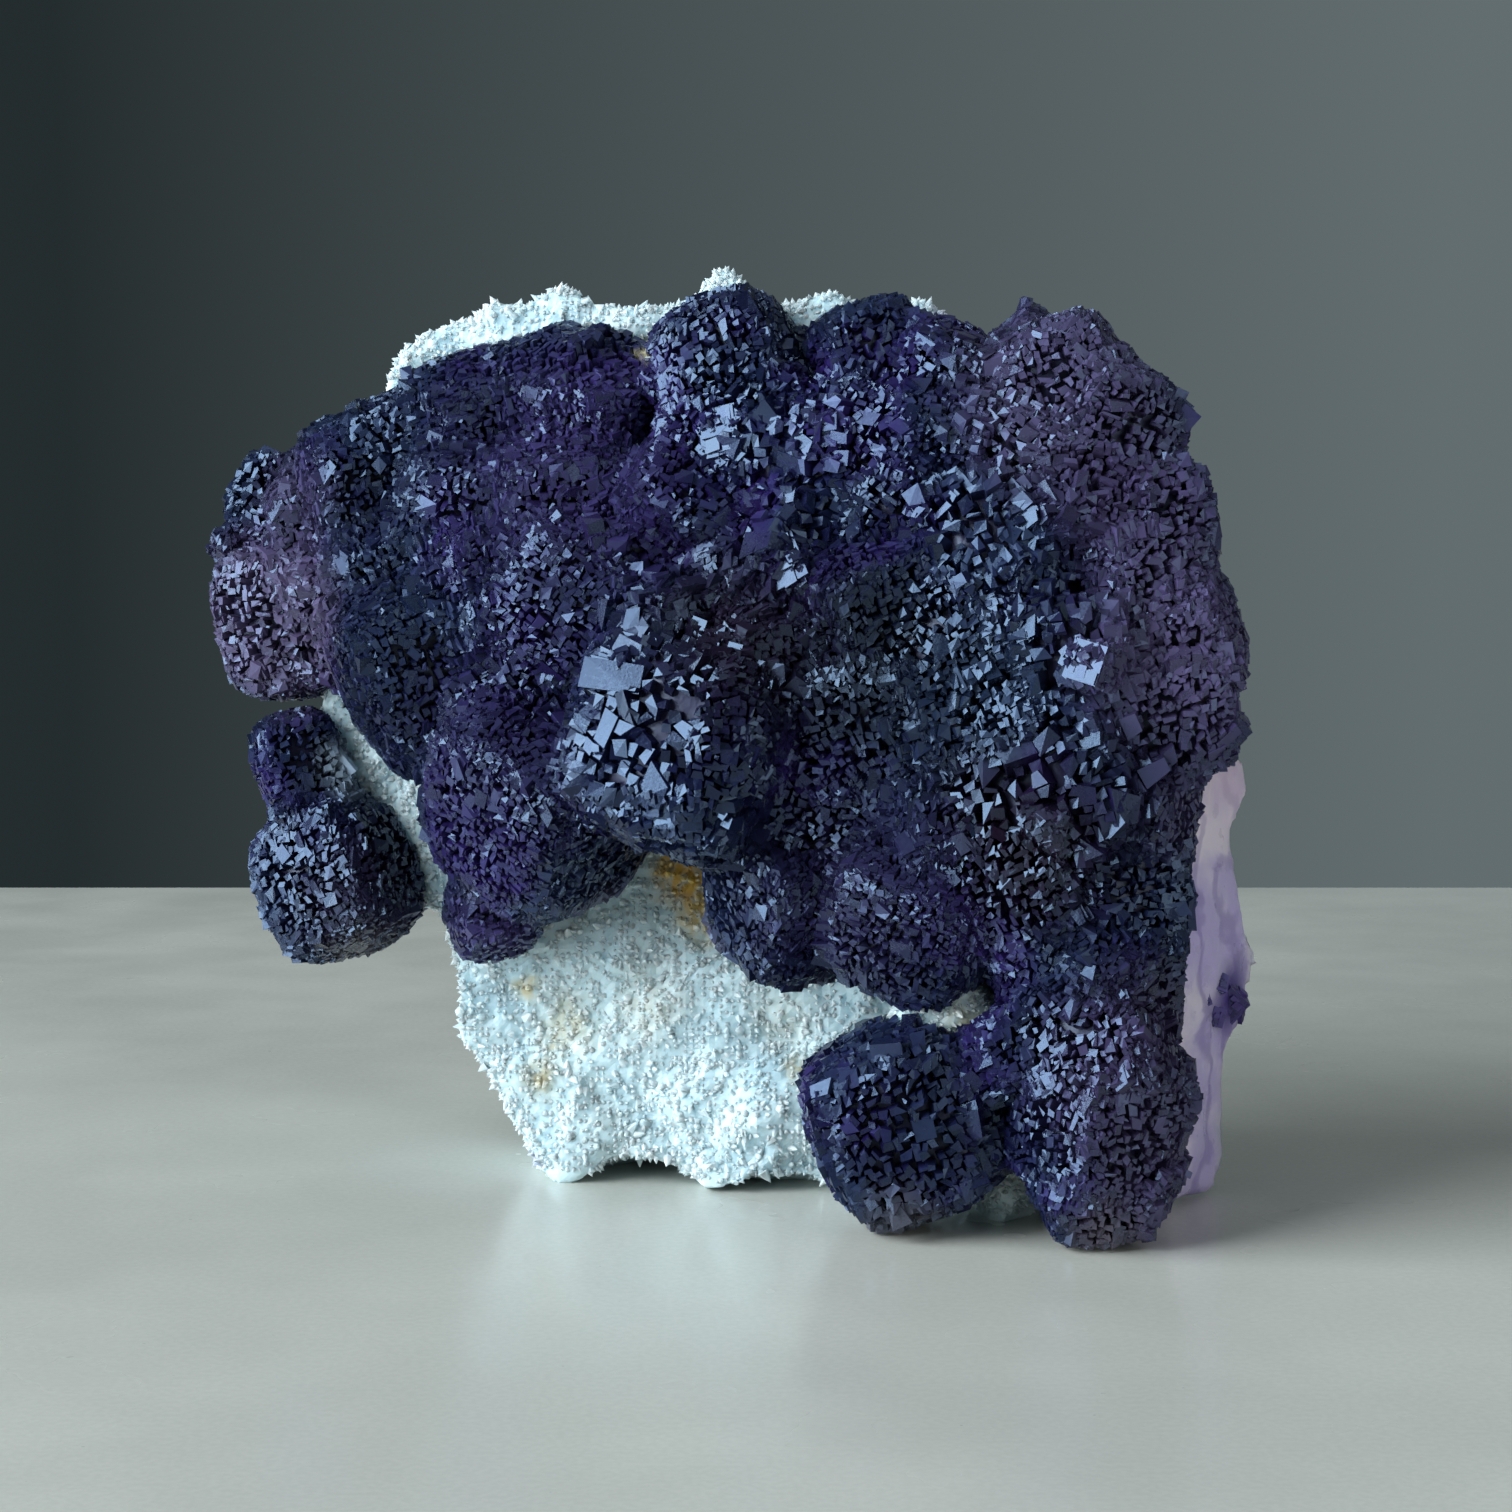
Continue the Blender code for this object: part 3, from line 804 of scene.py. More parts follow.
@dataclass(frozen=True)
class FluoriteFinish:
    """Dark, glossy, faintly translucent fluorite whose violet changes from place to place."""

    name: str = "violet_fluorite_cubes"
    deep: Colour = (0.005, 0.005, 0.028)
    slate: Colour = (0.009, 0.014, 0.044)
    glow: Colour = (0.017, 0.008, 0.070)
    sheen: Colour = (0.50, 0.70, 1.0)
    slate_size: float = 11 * MM
    glow_size: float = 17 * MM
    shade: tuple[float, float] = (0.72, 1.45)
    specular: float = 0.95
    transmission: float = 0.2
    smooth: float = 0.23
    rough: float = 0.42
    frost: float = 0.13
    frost_soft: float = 5 * MM
    relief_size: float = 0.30 * MM
    relief_height: float = 0.025 * MM
    # The glossiest places: across, up, lift and radius in millimetres
    glossy_at: tuple[tuple[float, float, float, float], ...] = (
        (-9.0, 58.0, 24.0, 14.0),
        (-1.0, 93.0, 12.0, 8.0),
        (4.0, 77.5, 18.0, 5.0),
        (38.5, 67.0, 18.0, 6.0),
        (28.0, 44.0, 16.0, 8.0),
    )
    tint_deep: float = 2.0
    tints: tuple[Tint, ...] = FLUORITE_TINTS

    def make(self) -> bpy.types.Material:
        """Wires the finish.

        Returns:
            The material.
        """
        wiring = Wiring(self.name)
        island = wiring.island()
        swayed = wiring.swayed(6 * MM, 2.4 * MM)
        slate = wiring.span(wiring.noise(self.slate_size), 0.36, 0.62)
        colour = wiring.mix(slate, self.deep, self.slate)
        glow = wiring.span(wiring.noise(self.glow_size, 2.0, swayed), 0.5, 0.66)
        colour = wiring.mix(glow, colour, self.glow)
        place = wiring.flattened(swayed, self.tint_deep)
        for tint in self.tints:
            middle = VIEW.place(tint.across, tint.up, tint.lift)
            share = wiring.near(middle, tint.radius * MM, tint.soft * MM, place, self.tint_deep)
            colour = wiring.mix(share, colour, tint.colour)
        colour = wiring.scaled(colour, wiring.span(island, 0.0, 1.0, self.shade))
        wear = wiring.sum("ADD", wiring.noise(0.5 * MM, 2.0), wiring.sum("MULTIPLY", island, 0.6))
        rough = wiring.span(wear, 0.4, 1.25, (self.smooth, self.rough))
        for across, up, lift, radius in self.glossy_at:
            middle = VIEW.place(across, up, lift)
            share = wiring.near(middle, radius * MM, self.frost_soft, place, self.tint_deep)
            rough = wiring.sum("SUBTRACT", rough, wiring.sum("MULTIPLY", share, self.frost))
        relief = wiring.noise(self.relief_size, 2.0)
        return wiring.finish(
            Base_Color=colour,
            Roughness=rough,
            IOR=FLUORITE_IOR,
            Specular_IOR_Level=self.specular,
            Specular_Tint=self.sheen,
            Transmission_Weight=self.transmission,
            Normal=wiring.bump(relief, self.relief_height, 0.7),
        )


@dataclass(frozen=True)
class BedFinish:
    """The massive fluorite: milky lavender on the right flank, dark violet under the cubes."""

    under: Colour = (0.014, 0.010, 0.036)
    lavender: Colour = (0.55, 0.46, 0.72)
    pale: Colour = (0.84, 0.74, 0.84)
    deep: Colour = (0.24, 0.17, 0.42)
    rose: Colour = (0.78, 0.60, 0.64)
    violet: Colour = (0.075, 0.045, 0.22)
    sheen: Colour = (0.70, 0.80, 1.0)
    milk_size: float = 12 * MM
    band_size: float = 16 * MM
    band_bend: float = 9.0
    band_share: float = 0.50
    warm_from: float = 36 * MM
    warm_over: float = 22 * MM
    flank_at: float = 50 * MM
    flank_slope: float = 0.1
    # The violet patch round the tip crystals: across, up and lift in millimetres
    violet_at: tuple[float, float, float] = (54.5, 27.5, -20.0)
    violet_radius: float = 4.0 * MM
    see_in: tuple[float, float, float] = (3.0 * MM, 2.2 * MM, 4.0 * MM)
    relief_height: float = 0.18 * MM

    def make(self) -> bpy.types.Material:
        """Wires the finish.

        Returns:
            The material.
        """
        wiring = Wiring("lavender_fluorite_bed")
        swayed = wiring.swayed(9 * MM, 2.5 * MM)
        parts = wiring.add("ShaderNodeSeparateXYZ", {0: swayed}).outputs
        line = wiring.sum("MULTIPLY", parts["Z"], self.flank_slope)
        across = wiring.sum("SUBTRACT", parts["X"], line)
        flank = wiring.span(across, self.flank_at - 3.5 * MM, self.flank_at + 1.5 * MM)
        cloud = wiring.span(wiring.noise(self.milk_size, 4.0, swayed), 0.42, 0.62)
        milk = wiring.mix(cloud, self.lavender, self.pale)
        inputs = {"Vector": swayed, "Scale": 1 / self.band_size, "Distortion": self.band_bend}
        inputs |= {"Detail": 4.0, "Detail Scale": 1.5}
        bands = wiring.add("ShaderNodeTexWave", inputs, bands_direction="X").outputs["Fac"]
        milk = wiring.mix(wiring.span(bands, 0.55, 1.0, (0.0, self.band_share)), milk, self.deep)
        warm = wiring.span(parts["Z"], self.warm_from, self.warm_from + self.warm_over, (0.0, 0.7))
        milk = wiring.mix(warm, milk, self.rose)
        patch = wiring.near(VIEW.place(*self.violet_at), self.violet_radius, 2.6 * MM, swayed)
        milk = wiring.mix(patch, milk, self.violet)
        colour = wiring.mix(flank, self.under, milk)
        relief = wiring.sum("ADD", wiring.noise(1.6 * MM, 5.0), wiring.noise(5 * MM, 1.0))
        return wiring.finish(
            Base_Color=colour,
            Roughness=wiring.span(wiring.noise(3 * MM), 0.3, 0.7, (0.26, 0.48)),
            IOR=FLUORITE_IOR,
            Specular_Tint=self.sheen,
            Subsurface_Weight=wiring.sum("MULTIPLY", flank, 0.55),
            Subsurface_Radius=self.see_in,
            Subsurface_Scale=1.0,
            Normal=wiring.bump(relief, self.relief_height, 0.6),
        )


# Iron stains and greyer and violet patches on the white quartz; the pale grey patch between the lowest
# nodules is faint painted shade
QUARTZ_TINTS = (
    Tint(-9.0, 43.5, 0, 3.0, 2.0, (0.60, 0.44, 0.14)),
    Tint(-6.2, 36.8, 0, 3.4, 2.2, (0.78, 0.56, 0.20)),
    Tint(-8.6, 41.5, 0, 3.8, 1.8, (0.80, 0.46, 0.07)),
    Tint(3.0, 24.0, 0, 3.0, 3.0, (0.72, 0.78, 0.72)),
    Tint(-13.0, 26.0, 0, 4.0, 4.0, (0.74, 0.80, 0.74)),
    Tint(-12.0, 101.5, 0, 2.6, 1.6, (0.60, 0.50, 0.26)),
    Tint(-27.0, 28.5, 0, 1.6, 1.4, (0.66, 0.56, 0.32)),
    Tint(-25.5, 18.0, 0, 2.0, 2.0, (0.62, 0.54, 0.32)),
    Tint(-24.0, 21.5, 0, 1.4, 1.4, (0.64, 0.56, 0.36)),
    Tint(5.0, 18.5, 0, 1.5, 1.2, (0.66, 0.52, 0.26)),
    Tint(24.0, 26.0, 4, 2.6, 2.0, (0.60, 0.56, 0.36)),
    # Faint painted shade on the quartz set back between the lowest nodules
    Tint(30.0, 9.0, 4, 5.0, 3.0, (0.66, 0.80, 0.82)),
    Tint(-17.5, 12.0, 0, 3.4, 3.0, (0.50, 0.60, 0.60)),
    Tint(-27.0, 7.5, 0, 1.5, 1.0, (0.34, 0.30, 0.62)),
    Tint(-22.0, 24.0, 0, 3.0, 3.0, (0.62, 0.60, 0.44)),
    Tint(27.0, 106.0, 0, 6.0, 3.0, (0.52, 0.50, 0.70)),
)


@dataclass(frozen=True)
class QuartzFinish:
    """Sugary white quartz with a cool cast, iron stains and grey spots of painted shade that stand for
    shade in small hollows.
    """

    name: str = "sugary_white_quartz"
    white: Colour = (0.69, 0.87, 0.91)
    cool: Colour = (0.60, 0.81, 0.88)
    # Painted shade: the grey of the spots that stand for shade in small hollows
    grey: Colour = (0.36, 0.45, 0.46)
    cool_size: float = 6 * MM
    pit_shade_size: float = 1.5 * MM
    pit_shade_share: float = 0.7
    shade: tuple[float, float] = (0.86, 1.1)
    stain_deep: float = 5.0
    glow: float = 0.8
    see_in: tuple[float, float, float] = (2.4 * MM, 2.7 * MM, 2.9 * MM)
    relief_height: float = 0.10 * MM
    tints: tuple[Tint, ...] = QUARTZ_TINTS

    def make(self) -> bpy.types.Material:
        """Wires the finish.

        Returns:
            The material.
        """
        wiring = Wiring(self.name)
        island = wiring.island()
        swayed = wiring.swayed(3 * MM, 1.6 * MM)
        cool = wiring.span(wiring.noise(self.cool_size, 4.0), 0.42, 0.66)
        colour = wiring.mix(cool, self.white, self.cool)
        # Grey spots of painted shade, standing for shade in small hollows of the quartz
        pit_shade = wiring.span(wiring.noise(self.pit_shade_size, 3.0, swayed), 0.66, 0.78)
        colour = wiring.mix(wiring.sum("MULTIPLY", pit_shade, self.pit_shade_share), colour, self.grey)
        place = wiring.flattened(swayed, self.stain_deep)
        patchy = wiring.span(wiring.noise(1.2 * MM, 3.0), 0.32, 0.6, (0.35, 1.0))
        for tint in self.tints:
            middle = VIEW.place(tint.across, tint.up, tint.lift)
            share = wiring.near(middle, tint.radius * MM, tint.soft * MM, place, self.stain_deep)
            colour = wiring.mix(wiring.sum("MULTIPLY", share, patchy), colour, tint.colour)
        colour = wiring.scaled(colour, wiring.span(island, 0.0, 1.0, self.shade))
        relief = wiring.sum("ADD", wiring.noise(0.35 * MM, 3.0), wiring.cells(0.7 * MM))
        return wiring.finish(
            Base_Color=colour,
            Roughness=wiring.span(wiring.noise(0.8 * MM), 0.3, 0.7, (0.3, 0.6)),
            IOR=QUARTZ_IOR,
            Subsurface_Weight=self.glow,
            Subsurface_Radius=self.see_in,
            Subsurface_Scale=1.0,
            Normal=wiring.bump(relief, self.relief_height, 0.4),
        )


def dressed(mesh: bpy.types.Mesh, name: str, material: bpy.types.Material) -> bpy.types.Object:
    """A piece that rides on the specimen.

    Args:
        mesh: its mesh, in place.
        name: its name.
        material: its finish.

    Returns:
        The piece.
    """
    mesh.materials.clear()
    mesh.materials.append(material)
    piece = bpy.data.objects.new(name, mesh)
    bpy.context.scene.collection.objects.link(piece)
    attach(piece, BODY)
    triangles = sum(len(face.vertices) - 2 for face in mesh.polygons)
    log.info("%s: %d triangles", name, triangles)
    return piece


@dataclass
class QuartzPlate:
    """The white quartz that everything grows on, with its crust of small grains."""

    voxel: float = 0.74 * MM
    lump_size: float = 2.6 * MM
    lump_height: float = 0.36 * MM
    pebble_size: float = 1.15 * MM
    pebble_height: float = 0.26 * MM
    grains: int = 18000
    grain_width: float = 0.38 * MM
    back_grains: int = 9000
    back_grain_width: float = 0.55 * MM
    back_rougher: float = 1.1
    smooth_foot: float = 1.5 * MM
    grain_foot: float = 1.2 * MM
    grain_clear: float = 1.5 * MM
    grain_spread: float = 0.28
    grain_length: tuple[float, float] = (0.8, 1.9)
    grain_tilt: tuple[float, float, float] = (0.45, 0.45, 2.0)
    grain_root: float = -0.25
    lowest: float = 0.1 * MM
    seed: int = 5
    crown_lift: float = -4.0
    # Lumps on the top edge: across, up, radius and rise in millimetres
    crown: tuple[tuple[float, float, float, float], ...] = (
        (-4.0, 107.0, 4.0, 3.0),
        (8.5, 106.0, 3.6, 2.2),
        (19.5, 104.5, 4.2, 2.2),
        (28.0, 102.0, 4.5, 2.0),
        (-39.0, 98.5, 5.5, 3.2),
        (-32.5, 102.5, 5.0, 2.0),
        (-23.0, 106.5, 4.5, 1.4),
    )

    def build(self) -> None:
        """Makes the plate and its grains."""
        mesh = evened_copy(Node.QUARTZ, self.voxel, "quartz_plate")
        self.roughen(mesh)
        front = self.grain_mesh(mesh, "quartz_grains", self.grains, self.grain_width, 0.2)
        back = self.grain_mesh(mesh, "quartz_grains_back", self.back_grains, self.back_grain_width, -0.2)
        plate = dressed(mesh, "quartz_plate", QuartzFinish().make())
        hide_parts(Node.QUARTZ.value)
        material = QuartzFinish(name="quartz_grains", white=(0.74, 0.89, 0.93)).make()
        dressed(front, "quartz_grains", material)
        dressed(back, "quartz_grains_back", material)

    def roughen(self, mesh: bpy.types.Mesh) -> None:
        """Makes the plate sugary, but leaves its feet flat.

        Args:
            mesh: the even skin of the plate.
        """
        points = points_of(mesh)
        normals = normals_of(mesh)
        height = (pebbles(points, self.lump_size) - 0.6) * self.lump_height
        height += (pebbles(points, self.pebble_size) - 0.6) * self.pebble_height
        height += layered_noise(points, ((6 * MM, 0.4 * MM), (0.9 * MM, 0.16 * MM)))
        height *= 1.0 + self.back_rougher * np.clip(normals[:, 1] * 2.0, 0.0, 1.0)
        lift = np.clip(points[:, 2] / self.smooth_foot, 0.0, 1.0)
        moved = points + normals * (height * lift)[:, None]
        for across, up, radius, rise in self.crown:
            away = points - np.array(VIEW.place(across, up, self.crown_lift))
            away[:, 2] = np.minimum(away[:, 2], 0.0)
            far = np.linalg.norm(away * (1.0, 0.8, 1.0), axis=1)
            moved[:, 2] += rise * MM * np.exp(-((far / (radius * MM)) ** 2))
        moved[:, 2] = np.maximum(moved[:, 2], 0.0)
        move_points(mesh, moved)

    def grain_mesh(
        self, mesh: bpy.types.Mesh, name: str, wanted: int, wide: float, facing: float
    ) -> bpy.types.Mesh:
        """Small six-sided quartz crystals on the open quartz.

        Args:
            mesh: the rough plate.
            name: the new mesh's name.
            wanted: how many crystals at most.
            wide: their usual half width in metres.
            facing: above 0 for the front and the edges, below 0 for the back.

        Returns:
            The grains as one mesh.
        """
        draw = np.random.default_rng(self.seed)
        points = points_of(mesh)
        normals = normals_of(mesh)
        crust = surface_tree(Node.CRUST)
        pick = draw.choice(len(points), min(len(points), wanted * 4), replace=False)
        pick = pick[points[pick, 2] > self.grain_foot]
        pick = pick[nearness(crust, points[pick]) > self.grain_clear]
        turned_here = normals[pick, 1] < facing if facing > 0 else normals[pick, 1] > -facing
        pick = pick[turned_here][:wanted]
        count = len(pick)
        width = wide * np.exp(draw.normal(0, self.grain_spread, count))
        length = width * draw.uniform(*self.grain_length, count)
        frames = standing_frames(normals[pick], 1.0)
        spin = np.einsum("nij,nj->ni", frames, draw.normal(0, self.grain_tilt, (count, 3)))
        frames = turned(frames, spin)
        angle = np.arange(6) * math.tau / 6
        ring = np.stack([np.cos(angle), np.sin(angle), np.zeros(6)], axis=1)
        corners = np.concatenate([ring + (0, 0, self.grain_root), [(0, 0, 1.0)]])
        scale = np.stack([width, width, length], axis=1)
        local = corners[None] * scale[:, None]
        placed = points[pick][:, None] + np.einsum("nij,nkj->nki", frames, local)
        placed = placed[placed[:, :, 2].min(axis=1) > self.lowest]
        sides = [(i, (i + 1) % 6, 6) for i in range(6)]
        sides += [(0, i + 1, i) for i in range(1, 5)]
        numbers = np.array(sides)[None] + 7 * np.arange(len(placed))[:, None, None]
        return mesh_from_arrays(name, placed.reshape(-1, 3), numbers.reshape(-1, 3))


@dataclass
class FluoriteBed:
    """The massive fluorite under the cubes, bare on the right flank."""

    nodules: list[GrownNodule]
    voxel: float = 0.98 * MM
    pulled_in: float = 1.3 * MM
    scoop_size: float = 11 * MM
    scoop_depth: float = 1.3 * MM
    bare_from: float = 1.02
    bare_over: float = 0.10
    lowest: float = 0.3 * MM

    def build(self, node: Node, name: str, material: bpy.types.Material) -> None:
        """Makes the bed of one solid.

        Args:
            node: the solid.
            name: the piece's name.
            material: its finish.
        """
        mesh = evened_copy(node, self.voxel, name)
        points = points_of(mesh)
        normals = normals_of(mesh)
        level = np.min([nodule.level(points) for nodule in self.nodules], axis=0)
        bare = np.clip((level - self.bare_from) / self.bare_over, 0.0, 1.0)
        scoops = (pebbles(points, self.scoop_size) - 0.7) * self.scoop_depth
        ripple = layered_noise(points, ((4 * MM, 0.35 * MM), (1.3 * MM, 0.10 * MM)))
        height = bare * (ripple - np.abs(scoops)) - (1.0 - bare) * self.pulled_in
        moved = points + normals * height[:, None]
        moved[:, 2] = np.maximum(moved[:, 2], self.lowest)
        move_points(mesh, moved)
        mesh.polygons.foreach_set("use_smooth", [True] * len(mesh.polygons))
        piece = dressed(mesh, name, material)
        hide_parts(node.value)


@dataclass
class CubeField:
    """The small cubes on the nodules of one field, as one mesh."""

    name: str
    node: Node
    nodules: list[GrownNodule]
    seed: int
    hidden_from: float = 0.985
    off_solid: float = 0.9 * MM
    off_solid_share: float = 0.05
    follow: float = 0.42
    spin: float = 0.24
    unrest: float = 0.10
    shear: float = 0.30
    shear_spread: float = 0.10
    size: float = 1.20
    size_spread: float = 0.30
    tall: float = 1.5
    big_share: float = 0.07
    big_by: tuple[float, float] = (1.4, 2.2)
    group_size: float = 3.4 * MM
    group_turn: float = 0.30
    group_rise: float = 0.40
    rise_spread: float = 0.10
    big_rise: float = 0.1
    valley_from: float = 1.24
    valley_fill: float = 1.5 * MM

    def build(self, everyone: list[GrownNodule], tree: BVHTree, material: bpy.types.Material) -> None:
        """Makes the field.

        Args:
            everyone: every nodule of the solid, which may hide a cell.
            tree: the solid's surface.
            material: the cubes' finish.
        """
        draw = np.random.default_rng(self.seed)
        blocks = Blocks(ragged=CUBE_RAGGED)
        for nodule in self.nodules:
            self.cover(nodule, everyone, tree, blocks, draw)
        piece = dressed(blocks.mesh(self.name, LOWEST_CUBE), self.name, material)
        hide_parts(self.node.value)

    def cover(
        self,
        nodule: GrownNodule,
        everyone: list[GrownNodule],
        tree: BVHTree,
        blocks: Blocks,
        draw: np.random.Generator,
    ) -> None:
        """Covers one nodule with cubes.

        Args:
            nodule: the nodule.
            everyone: every nodule of the solid, which may hide a cell.
            tree: the solid's surface.
            blocks: where the cubes go.
            draw: the random numbers.
        """
        places, frames, normals = nodule.skin(draw)
        others = [other.level(places) for other in everyone if other is not nodule]
        beside = np.min(others, axis=0)
        kept = np.flatnonzero(beside > self.hidden_from)
        if not len(kept):
            return
        reach = self.off_solid + self.off_solid_share * nodule.radius
        kept = kept[nearness(tree, places[kept]) < reach]
        count = len(kept)
        if not count:
            return
        places, frames, normals, beside = (part[kept] for part in (places, frames, normals, beside))
        grain = nodule.grain
        group = groups(places, self.group_size)
        lean = towards(frames[:, :, 2], normals, self.follow)
        spin = normals * draw.normal(0, self.spin, (count, 1))
        unrest = draw.normal(0, self.unrest, (count, 3))
        frames = turned(frames, lean + self.group_turn * group + spin + unrest)
        slant = self.shear * group[:, :1] + draw.normal(0, self.shear_spread, (count, 1))
        frames[:, :, 0] += frames[:, :, 1] * slant
        sizes = grain * self.size * np.exp(draw.normal(0, self.size_spread, (count, 3)))
        big = draw.random(count) < self.big_share
        sizes[big] *= draw.uniform(*self.big_by, (int(big.sum()), 1))
        sizes[:, 2] = np.maximum(sizes[:, 2], grain) * self.tall
        swell = layered_noise(places, ((5.0 * MM, 0.06 * nodule.radius), (1.8 * MM, 0.15 * grain)))
        valley = np.clip((self.valley_from - beside) / (self.valley_from - 1.0), 0.0, 1.0)
        stand = draw.normal(0, self.rise_spread, count) + self.group_rise * group[:, 0]
        rise = swell + grain * (stand + self.big_rise * big) + self.valley_fill * valley**2
        middles = places + normals * rise[:, None] - frames[:, :, 2] * sizes[:, 2:] / 2
        blocks.add(middles, frames, sizes, draw.uniform(*CUBE_TAPER, count))


@dataclass
class ValleyCubes:
    """Small cubes on the bed between the nodules, up to the bare flank."""

    nodules: list[GrownNodule]
    spacing: float = 1.0 * MM
    grain: float = 0.95 * MM
    clear: float = 2.0 * MM
    level_from: float = 1.03
    turned_back: float = 0.35
    lowest_place: float = 2 * MM
    flank_at: float = 47 * MM
    flank_slope: float = 0.1
    group_size: float = 3.0 * MM
    group_turn: float = 0.5
    group_rise: float = 0.4
    follow: float = 0.9
    unrest: float = 0.12
    size: float = 1.25
    size_spread: float = 0.24
    tall: float = 1.8
    rise: float = 0.2
    seed: int = 31

    def build(self, node: Node, name: str, material: bpy.types.Material) -> None:
        """Makes the cubes of one solid.

        Args:
            node: the solid.
            name: the piece's name.
            material: the cubes' finish.
        """
        draw = np.random.default_rng(self.seed)
        skin = evened_copy(node, self.spacing, name)
        points = points_of(skin)
        normals = normals_of(skin)
        bpy.data.meshes.remove(skin)
        level = np.min([nodule.level(points) for nodule in self.nodules], axis=0)
        flank = self.flank_at + self.flank_slope * points[:, 2]
        kept = (level > self.level_from) & (points[:, 0] < flank)
        kept &= (normals[:, 1] < self.turned_back) & (points[:, 2] > self.lowest_place)
        kept[kept] = nearness(surface_tree(Node.QUARTZ), points[kept]) > self.clear
        points, normals = points[kept], normals[kept]
        count = len(points)
        group = groups(points, self.group_size)
        frames = standing_frames(normals, self.follow)
        frames = turned(frames, self.group_turn * group + draw.normal(0, self.unrest, (count, 3)))
        sizes = self.grain * self.size * np.exp(draw.normal(0, self.size_spread, (count, 3)))
        sizes[:, 2] = self.grain * self.tall
        rise = self.grain * (self.rise + self.group_rise * group[:, 0])
        middles = points + normals * (rise - sizes[:, 2] / 2)[:, None]
        blocks = Blocks(ragged=CUBE_RAGGED)
        blocks.add(middles, frames, sizes, draw.uniform(*CUBE_TAPER, count))
        piece = dressed(blocks.mesh(name, LOWEST_CUBE), name, material)
        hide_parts(node.value)


@dataclass
class LargeCrystals:
    """The single cubes that stand out, each with stepped faces."""

    crystals: tuple[Crystal, ...]
    seed: int = 9
    core: float = 0.92
    plates: int = 30
    plate_width: tuple[float, float] = (0.16, 0.52)
    plate_rise: tuple[float, float] = (0.02, 0.07)
    plate_tilt: float = 0.05
    taper: float = 0.97

    def build(self, material: bpy.types.Material) -> None:
        """Makes them as one mesh.

        Args:
            material: the cubes' finish.
        """
        draw = np.random.default_rng(self.seed)
        blocks = Blocks()
        for crystal in self.crystals:
            self.stack(crystal, blocks, draw)
        piece = dressed(blocks.mesh("large_cubes", 0.0), "large_cubes", material)
        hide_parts(Node.CRUST.value)

    def stack(self, crystal: Crystal, blocks: Blocks, draw: np.random.Generator) -> None:
        """Builds one crystal from a cube and thin plates on its faces.

        Args:
            crystal: its sizes.
            blocks: where its parts go.
            draw: the random numbers.
        """
        side = crystal.side * MM * self.core
        middle = np.array(VIEW.place(crystal.across, crystal.up, crystal.lift))
        turn = np.array(Euler([math.radians(angle) for angle in crystal.turn]).to_matrix())
        offsets = [np.zeros(3)]
        sizes = [np.full(3, side)]
        for _ in range(self.plates):
            axis = draw.integers(3)
            size = side * draw.uniform(*self.plate_width, 3)
            size[axis] = side * draw.uniform(*self.plate_rise) * 2 + side
            offset = draw.uniform(-0.5, 0.5, 3) * (side - size)
            offset[axis] = 0.0
            offsets.append(offset)
            sizes.append(size)
        count = len(offsets)
        middles = middle + np.array(offsets) @ turn.T
        frames = np.broadcast_to(turn, (count, 3, 3))
        frames = turned(frames, draw.normal(0, self.plate_tilt, (count, 3)))
        blocks.add(middles, frames, np.array(sizes), np.full(count, self.taper))


@dataclass
class Specimen:
    """The whole specimen."""

    first_seed: int = 20
    pair_seed: int = 40
    fields: tuple[tuple[str, tuple[Nodule, ...]], ...] = (
        ("cubes_upper", UPPER_FIELD),
        ("cubes_left", LEFT_FIELD),
        ("cubes_middle", MIDDLE_FIELD),
        ("cubes_right", RIGHT_FIELD),
        ("cubes_lower", LOWER_FIELD),
    )

    def build(self) -> None:
        """Makes every piece."""
        QuartzPlate().build()
        cubes = FluoriteFinish().make()
        bed = BedFinish().make()
        draw = random.Random(f"{SEED} {Node.CRUST.value}")
        grown = {
            name: [GrownNodule.plant(nodule, draw) for nodule in nodules] for name, nodules in self.fields
        }
        everyone = [nodule for group in grown.values() for nodule in group]
        tree = surface_tree(Node.CRUST)
        FluoriteBed(everyone).build(Node.CRUST, "fluorite_bed", bed)
        for number, (name, group) in enumerate(grown.items()):
            CubeField(name, Node.CRUST, group, self.first_seed + number).build(everyone, tree, cubes)
        ValleyCubes(everyone).build(Node.CRUST, "cubes_between", cubes)
        LargeCrystals(CRYSTALS).build(cubes)
        draw = random.Random(f"{SEED} {Node.CLUSTER.value}")
        pair = [GrownNodule.plant(nodule, draw) for nodule in LEFT_PAIR]
        FluoriteBed(pair).build(Node.CLUSTER, "lower_left_bed", bed)
        tree = surface_tree(Node.CLUSTER)
        CubeField("cubes_lower_left", Node.CLUSTER, pair, self.pair_seed).build(pair, tree, cubes)


@dataclass
class Lamp:
    """One soft rectangular light: where it is, its size in metres, its power and colour."""

    name: str
    place: tuple[float, float, float]
    size: tuple[float, float]
    power: float
    colour: Colour
    aim: tuple[float, float, float] = (0.0, 0.0, 0.05)

    def build(self) -> None:
        """Makes the light."""
        data = bpy.data.lights.new(self.name, "AREA")
        data.shape = "RECTANGLE"
        data.size, data.size_y = self.size
        data.energy = self.power
        data.color = self.colour
        lamp = bpy.data.objects.new(self.name, data)
        lamp.location = self.place
        lamp.rotation_euler = (Vector(self.aim) - Vector(self.place)).to_track_quat("-Z", "Y").to_euler()
        bpy.context.scene.collection.objects.link(lamp)


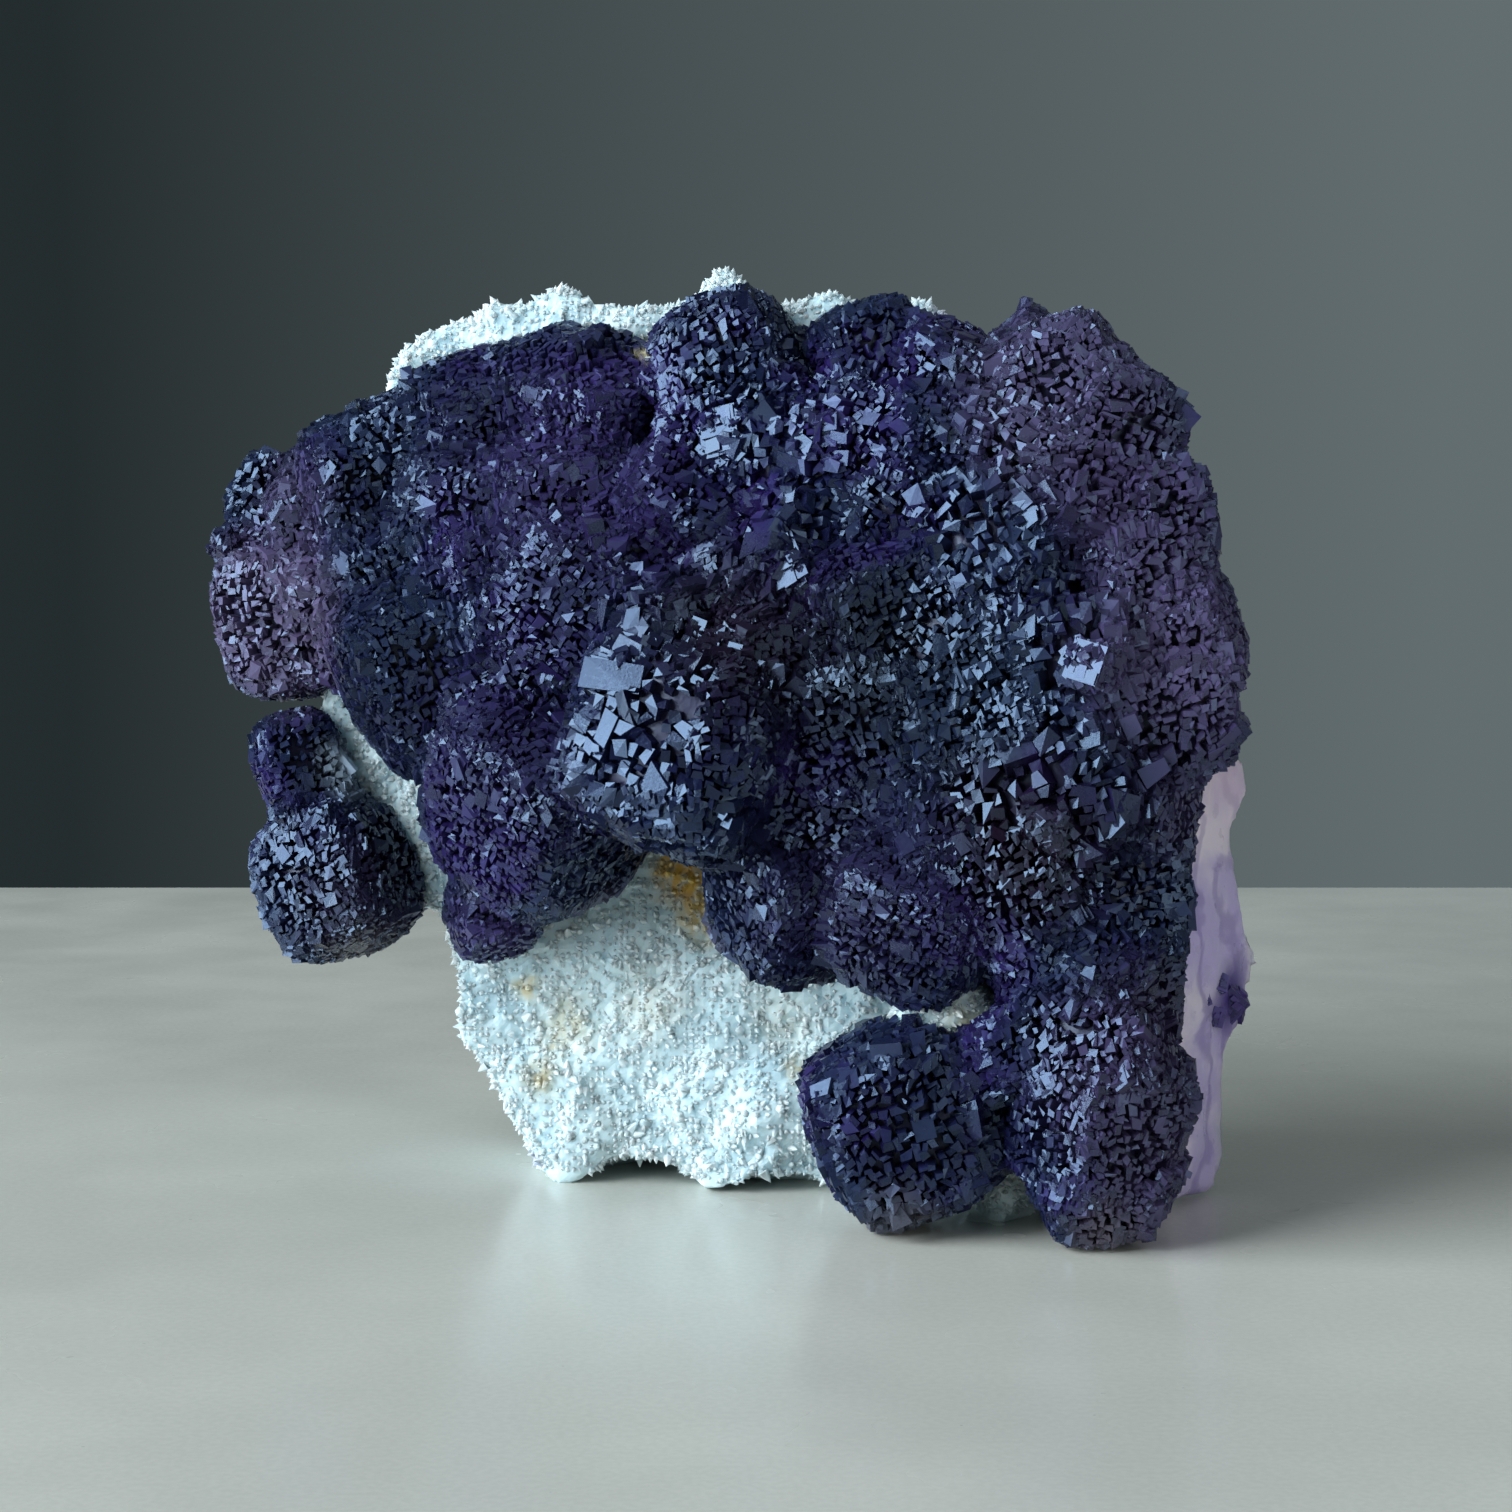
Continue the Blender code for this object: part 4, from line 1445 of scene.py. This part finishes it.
@dataclass
class Studio:
    """The table, the grey room, the soft window light and the camera."""

    table_back: float = 0.288
    table_front: float = -1.6
    table_half_width: float = 1.5
    table_colour: Colour = (0.58, 0.56, 0.495)
    speck_colour: Colour = (0.2, 0.2, 0.2)
    speck_share: float = 0.35
    room_left: Colour = (0.018, 0.026, 0.028)
    room_right: Colour = (0.124, 0.154, 0.160)
    room_turn: float = 0.22
    camera_at: tuple[float, float, float] = (0.004, -0.371, 0.0866)
    camera_tilt: float = 85.0
    view_angle: float = 28.0
    lamps: tuple[Lamp, ...] = (
        Lamp("window", (-1.15, -0.50, 0.55), (1.2, 1.2), 50.0, (0.80, 0.92, 1.0)),
        Lamp("ceiling", (0.05, 0.00, 1.1), (0.8, 0.8), 1.0, (0.84, 0.93, 1.0)),
        Lamp("fill", (0.95, -0.85, 0.20), (0.9, 0.9), 5.0, (0.90, 0.95, 1.0)),
    )

    def build(self) -> None:
        """Makes the stage."""
        self.table()
        self.room()
        for lamp in self.lamps:
            lamp.build()
        self.camera()

    def table(self) -> None:
        """The pale table top, with its far edge as in the front view."""
        points = np.array(
            [
                (-self.table_half_width, self.table_front, 0.0),
                (self.table_half_width, self.table_front, 0.0),
                (self.table_half_width, self.table_back, 0.0),
                (-self.table_half_width, self.table_back, 0.0),
            ]
        )
        mesh = mesh_from_arrays("table_top", points, np.array([(0, 1, 2, 3)]))
        wiring = Wiring("table_top")
        specks = wiring.span(wiring.noise(1.6 * MM, 2.0), 0.75, 0.78)
        cloud = wiring.span(wiring.noise(60 * MM, 4.0), 0.35, 0.65, (0.94, 1.04))
        grain = wiring.span(wiring.noise(0.8 * MM, 2.0), 0.3, 0.7, (0.97, 1.03))
        colour = wiring.scaled(self.table_colour, wiring.sum("MULTIPLY", cloud, grain))
        specks = wiring.sum("MULTIPLY", specks, self.speck_share)
        colour = wiring.mix(specks, colour, self.speck_colour)
        mesh.materials.append(
            wiring.finish(
                Base_Color=colour,
                Roughness=wiring.span(wiring.noise(25 * MM), 0.3, 0.7, (0.20, 0.28)),
                IOR=1.45,
            )
        )
        table = bpy.data.objects.new("table_top", mesh)
        bpy.context.scene.collection.objects.link(table)

    def room(self) -> None:
        """A plain grey room, darker to the left."""
        world = bpy.data.worlds.new("room")
        bpy.context.scene.world = world
        world.use_nodes = True
        tree = world.node_tree
        back = tree.nodes["Background"]
        way = tree.nodes.new("ShaderNodeTexCoord")
        parts = tree.nodes.new("ShaderNodeSeparateXYZ")
        ramp = tree.nodes.new("ShaderNodeValToRGB")
        shift = tree.nodes.new("ShaderNodeMapRange")
        tree.links.new(way.outputs["Generated"], parts.inputs[0])
        tree.links.new(parts.outputs["X"], shift.inputs["Value"])
        shift.inputs["From Min"].default_value = -self.room_turn
        shift.inputs["From Max"].default_value = self.room_turn
        tree.links.new(shift.outputs[0], ramp.inputs["Fac"])
        for end, colour in zip(ramp.color_ramp.elements, (self.room_left, self.room_right)):
            end.color = (*colour, 1)
        tree.links.new(ramp.outputs["Color"], back.inputs["Color"])

    def camera(self) -> None:
        """The camera at the photograph's viewing angle."""
        data = bpy.data.cameras.new("front_view")
        data.sensor_width = 36.0
        data.lens = data.sensor_width / 2 / math.tan(math.radians(self.view_angle / 2))
        camera = bpy.data.objects.new("front_view", data)
        camera.location = self.camera_at
        camera.rotation_euler = (math.radians(self.camera_tilt), 0.0, 0.0)
        bpy.context.scene.collection.objects.link(camera)
        bpy.context.scene.camera = camera


def main() -> None:
    """Builds the specimen and its stage."""
    logging.basicConfig(level=logging.INFO, format="%(message)s")
    noise.seed_set(SEED)
    bpy.context.scene.view_settings.view_transform = "Standard"
    Specimen().build()
    Studio().build()


if __name__ == "__main__":
    main()
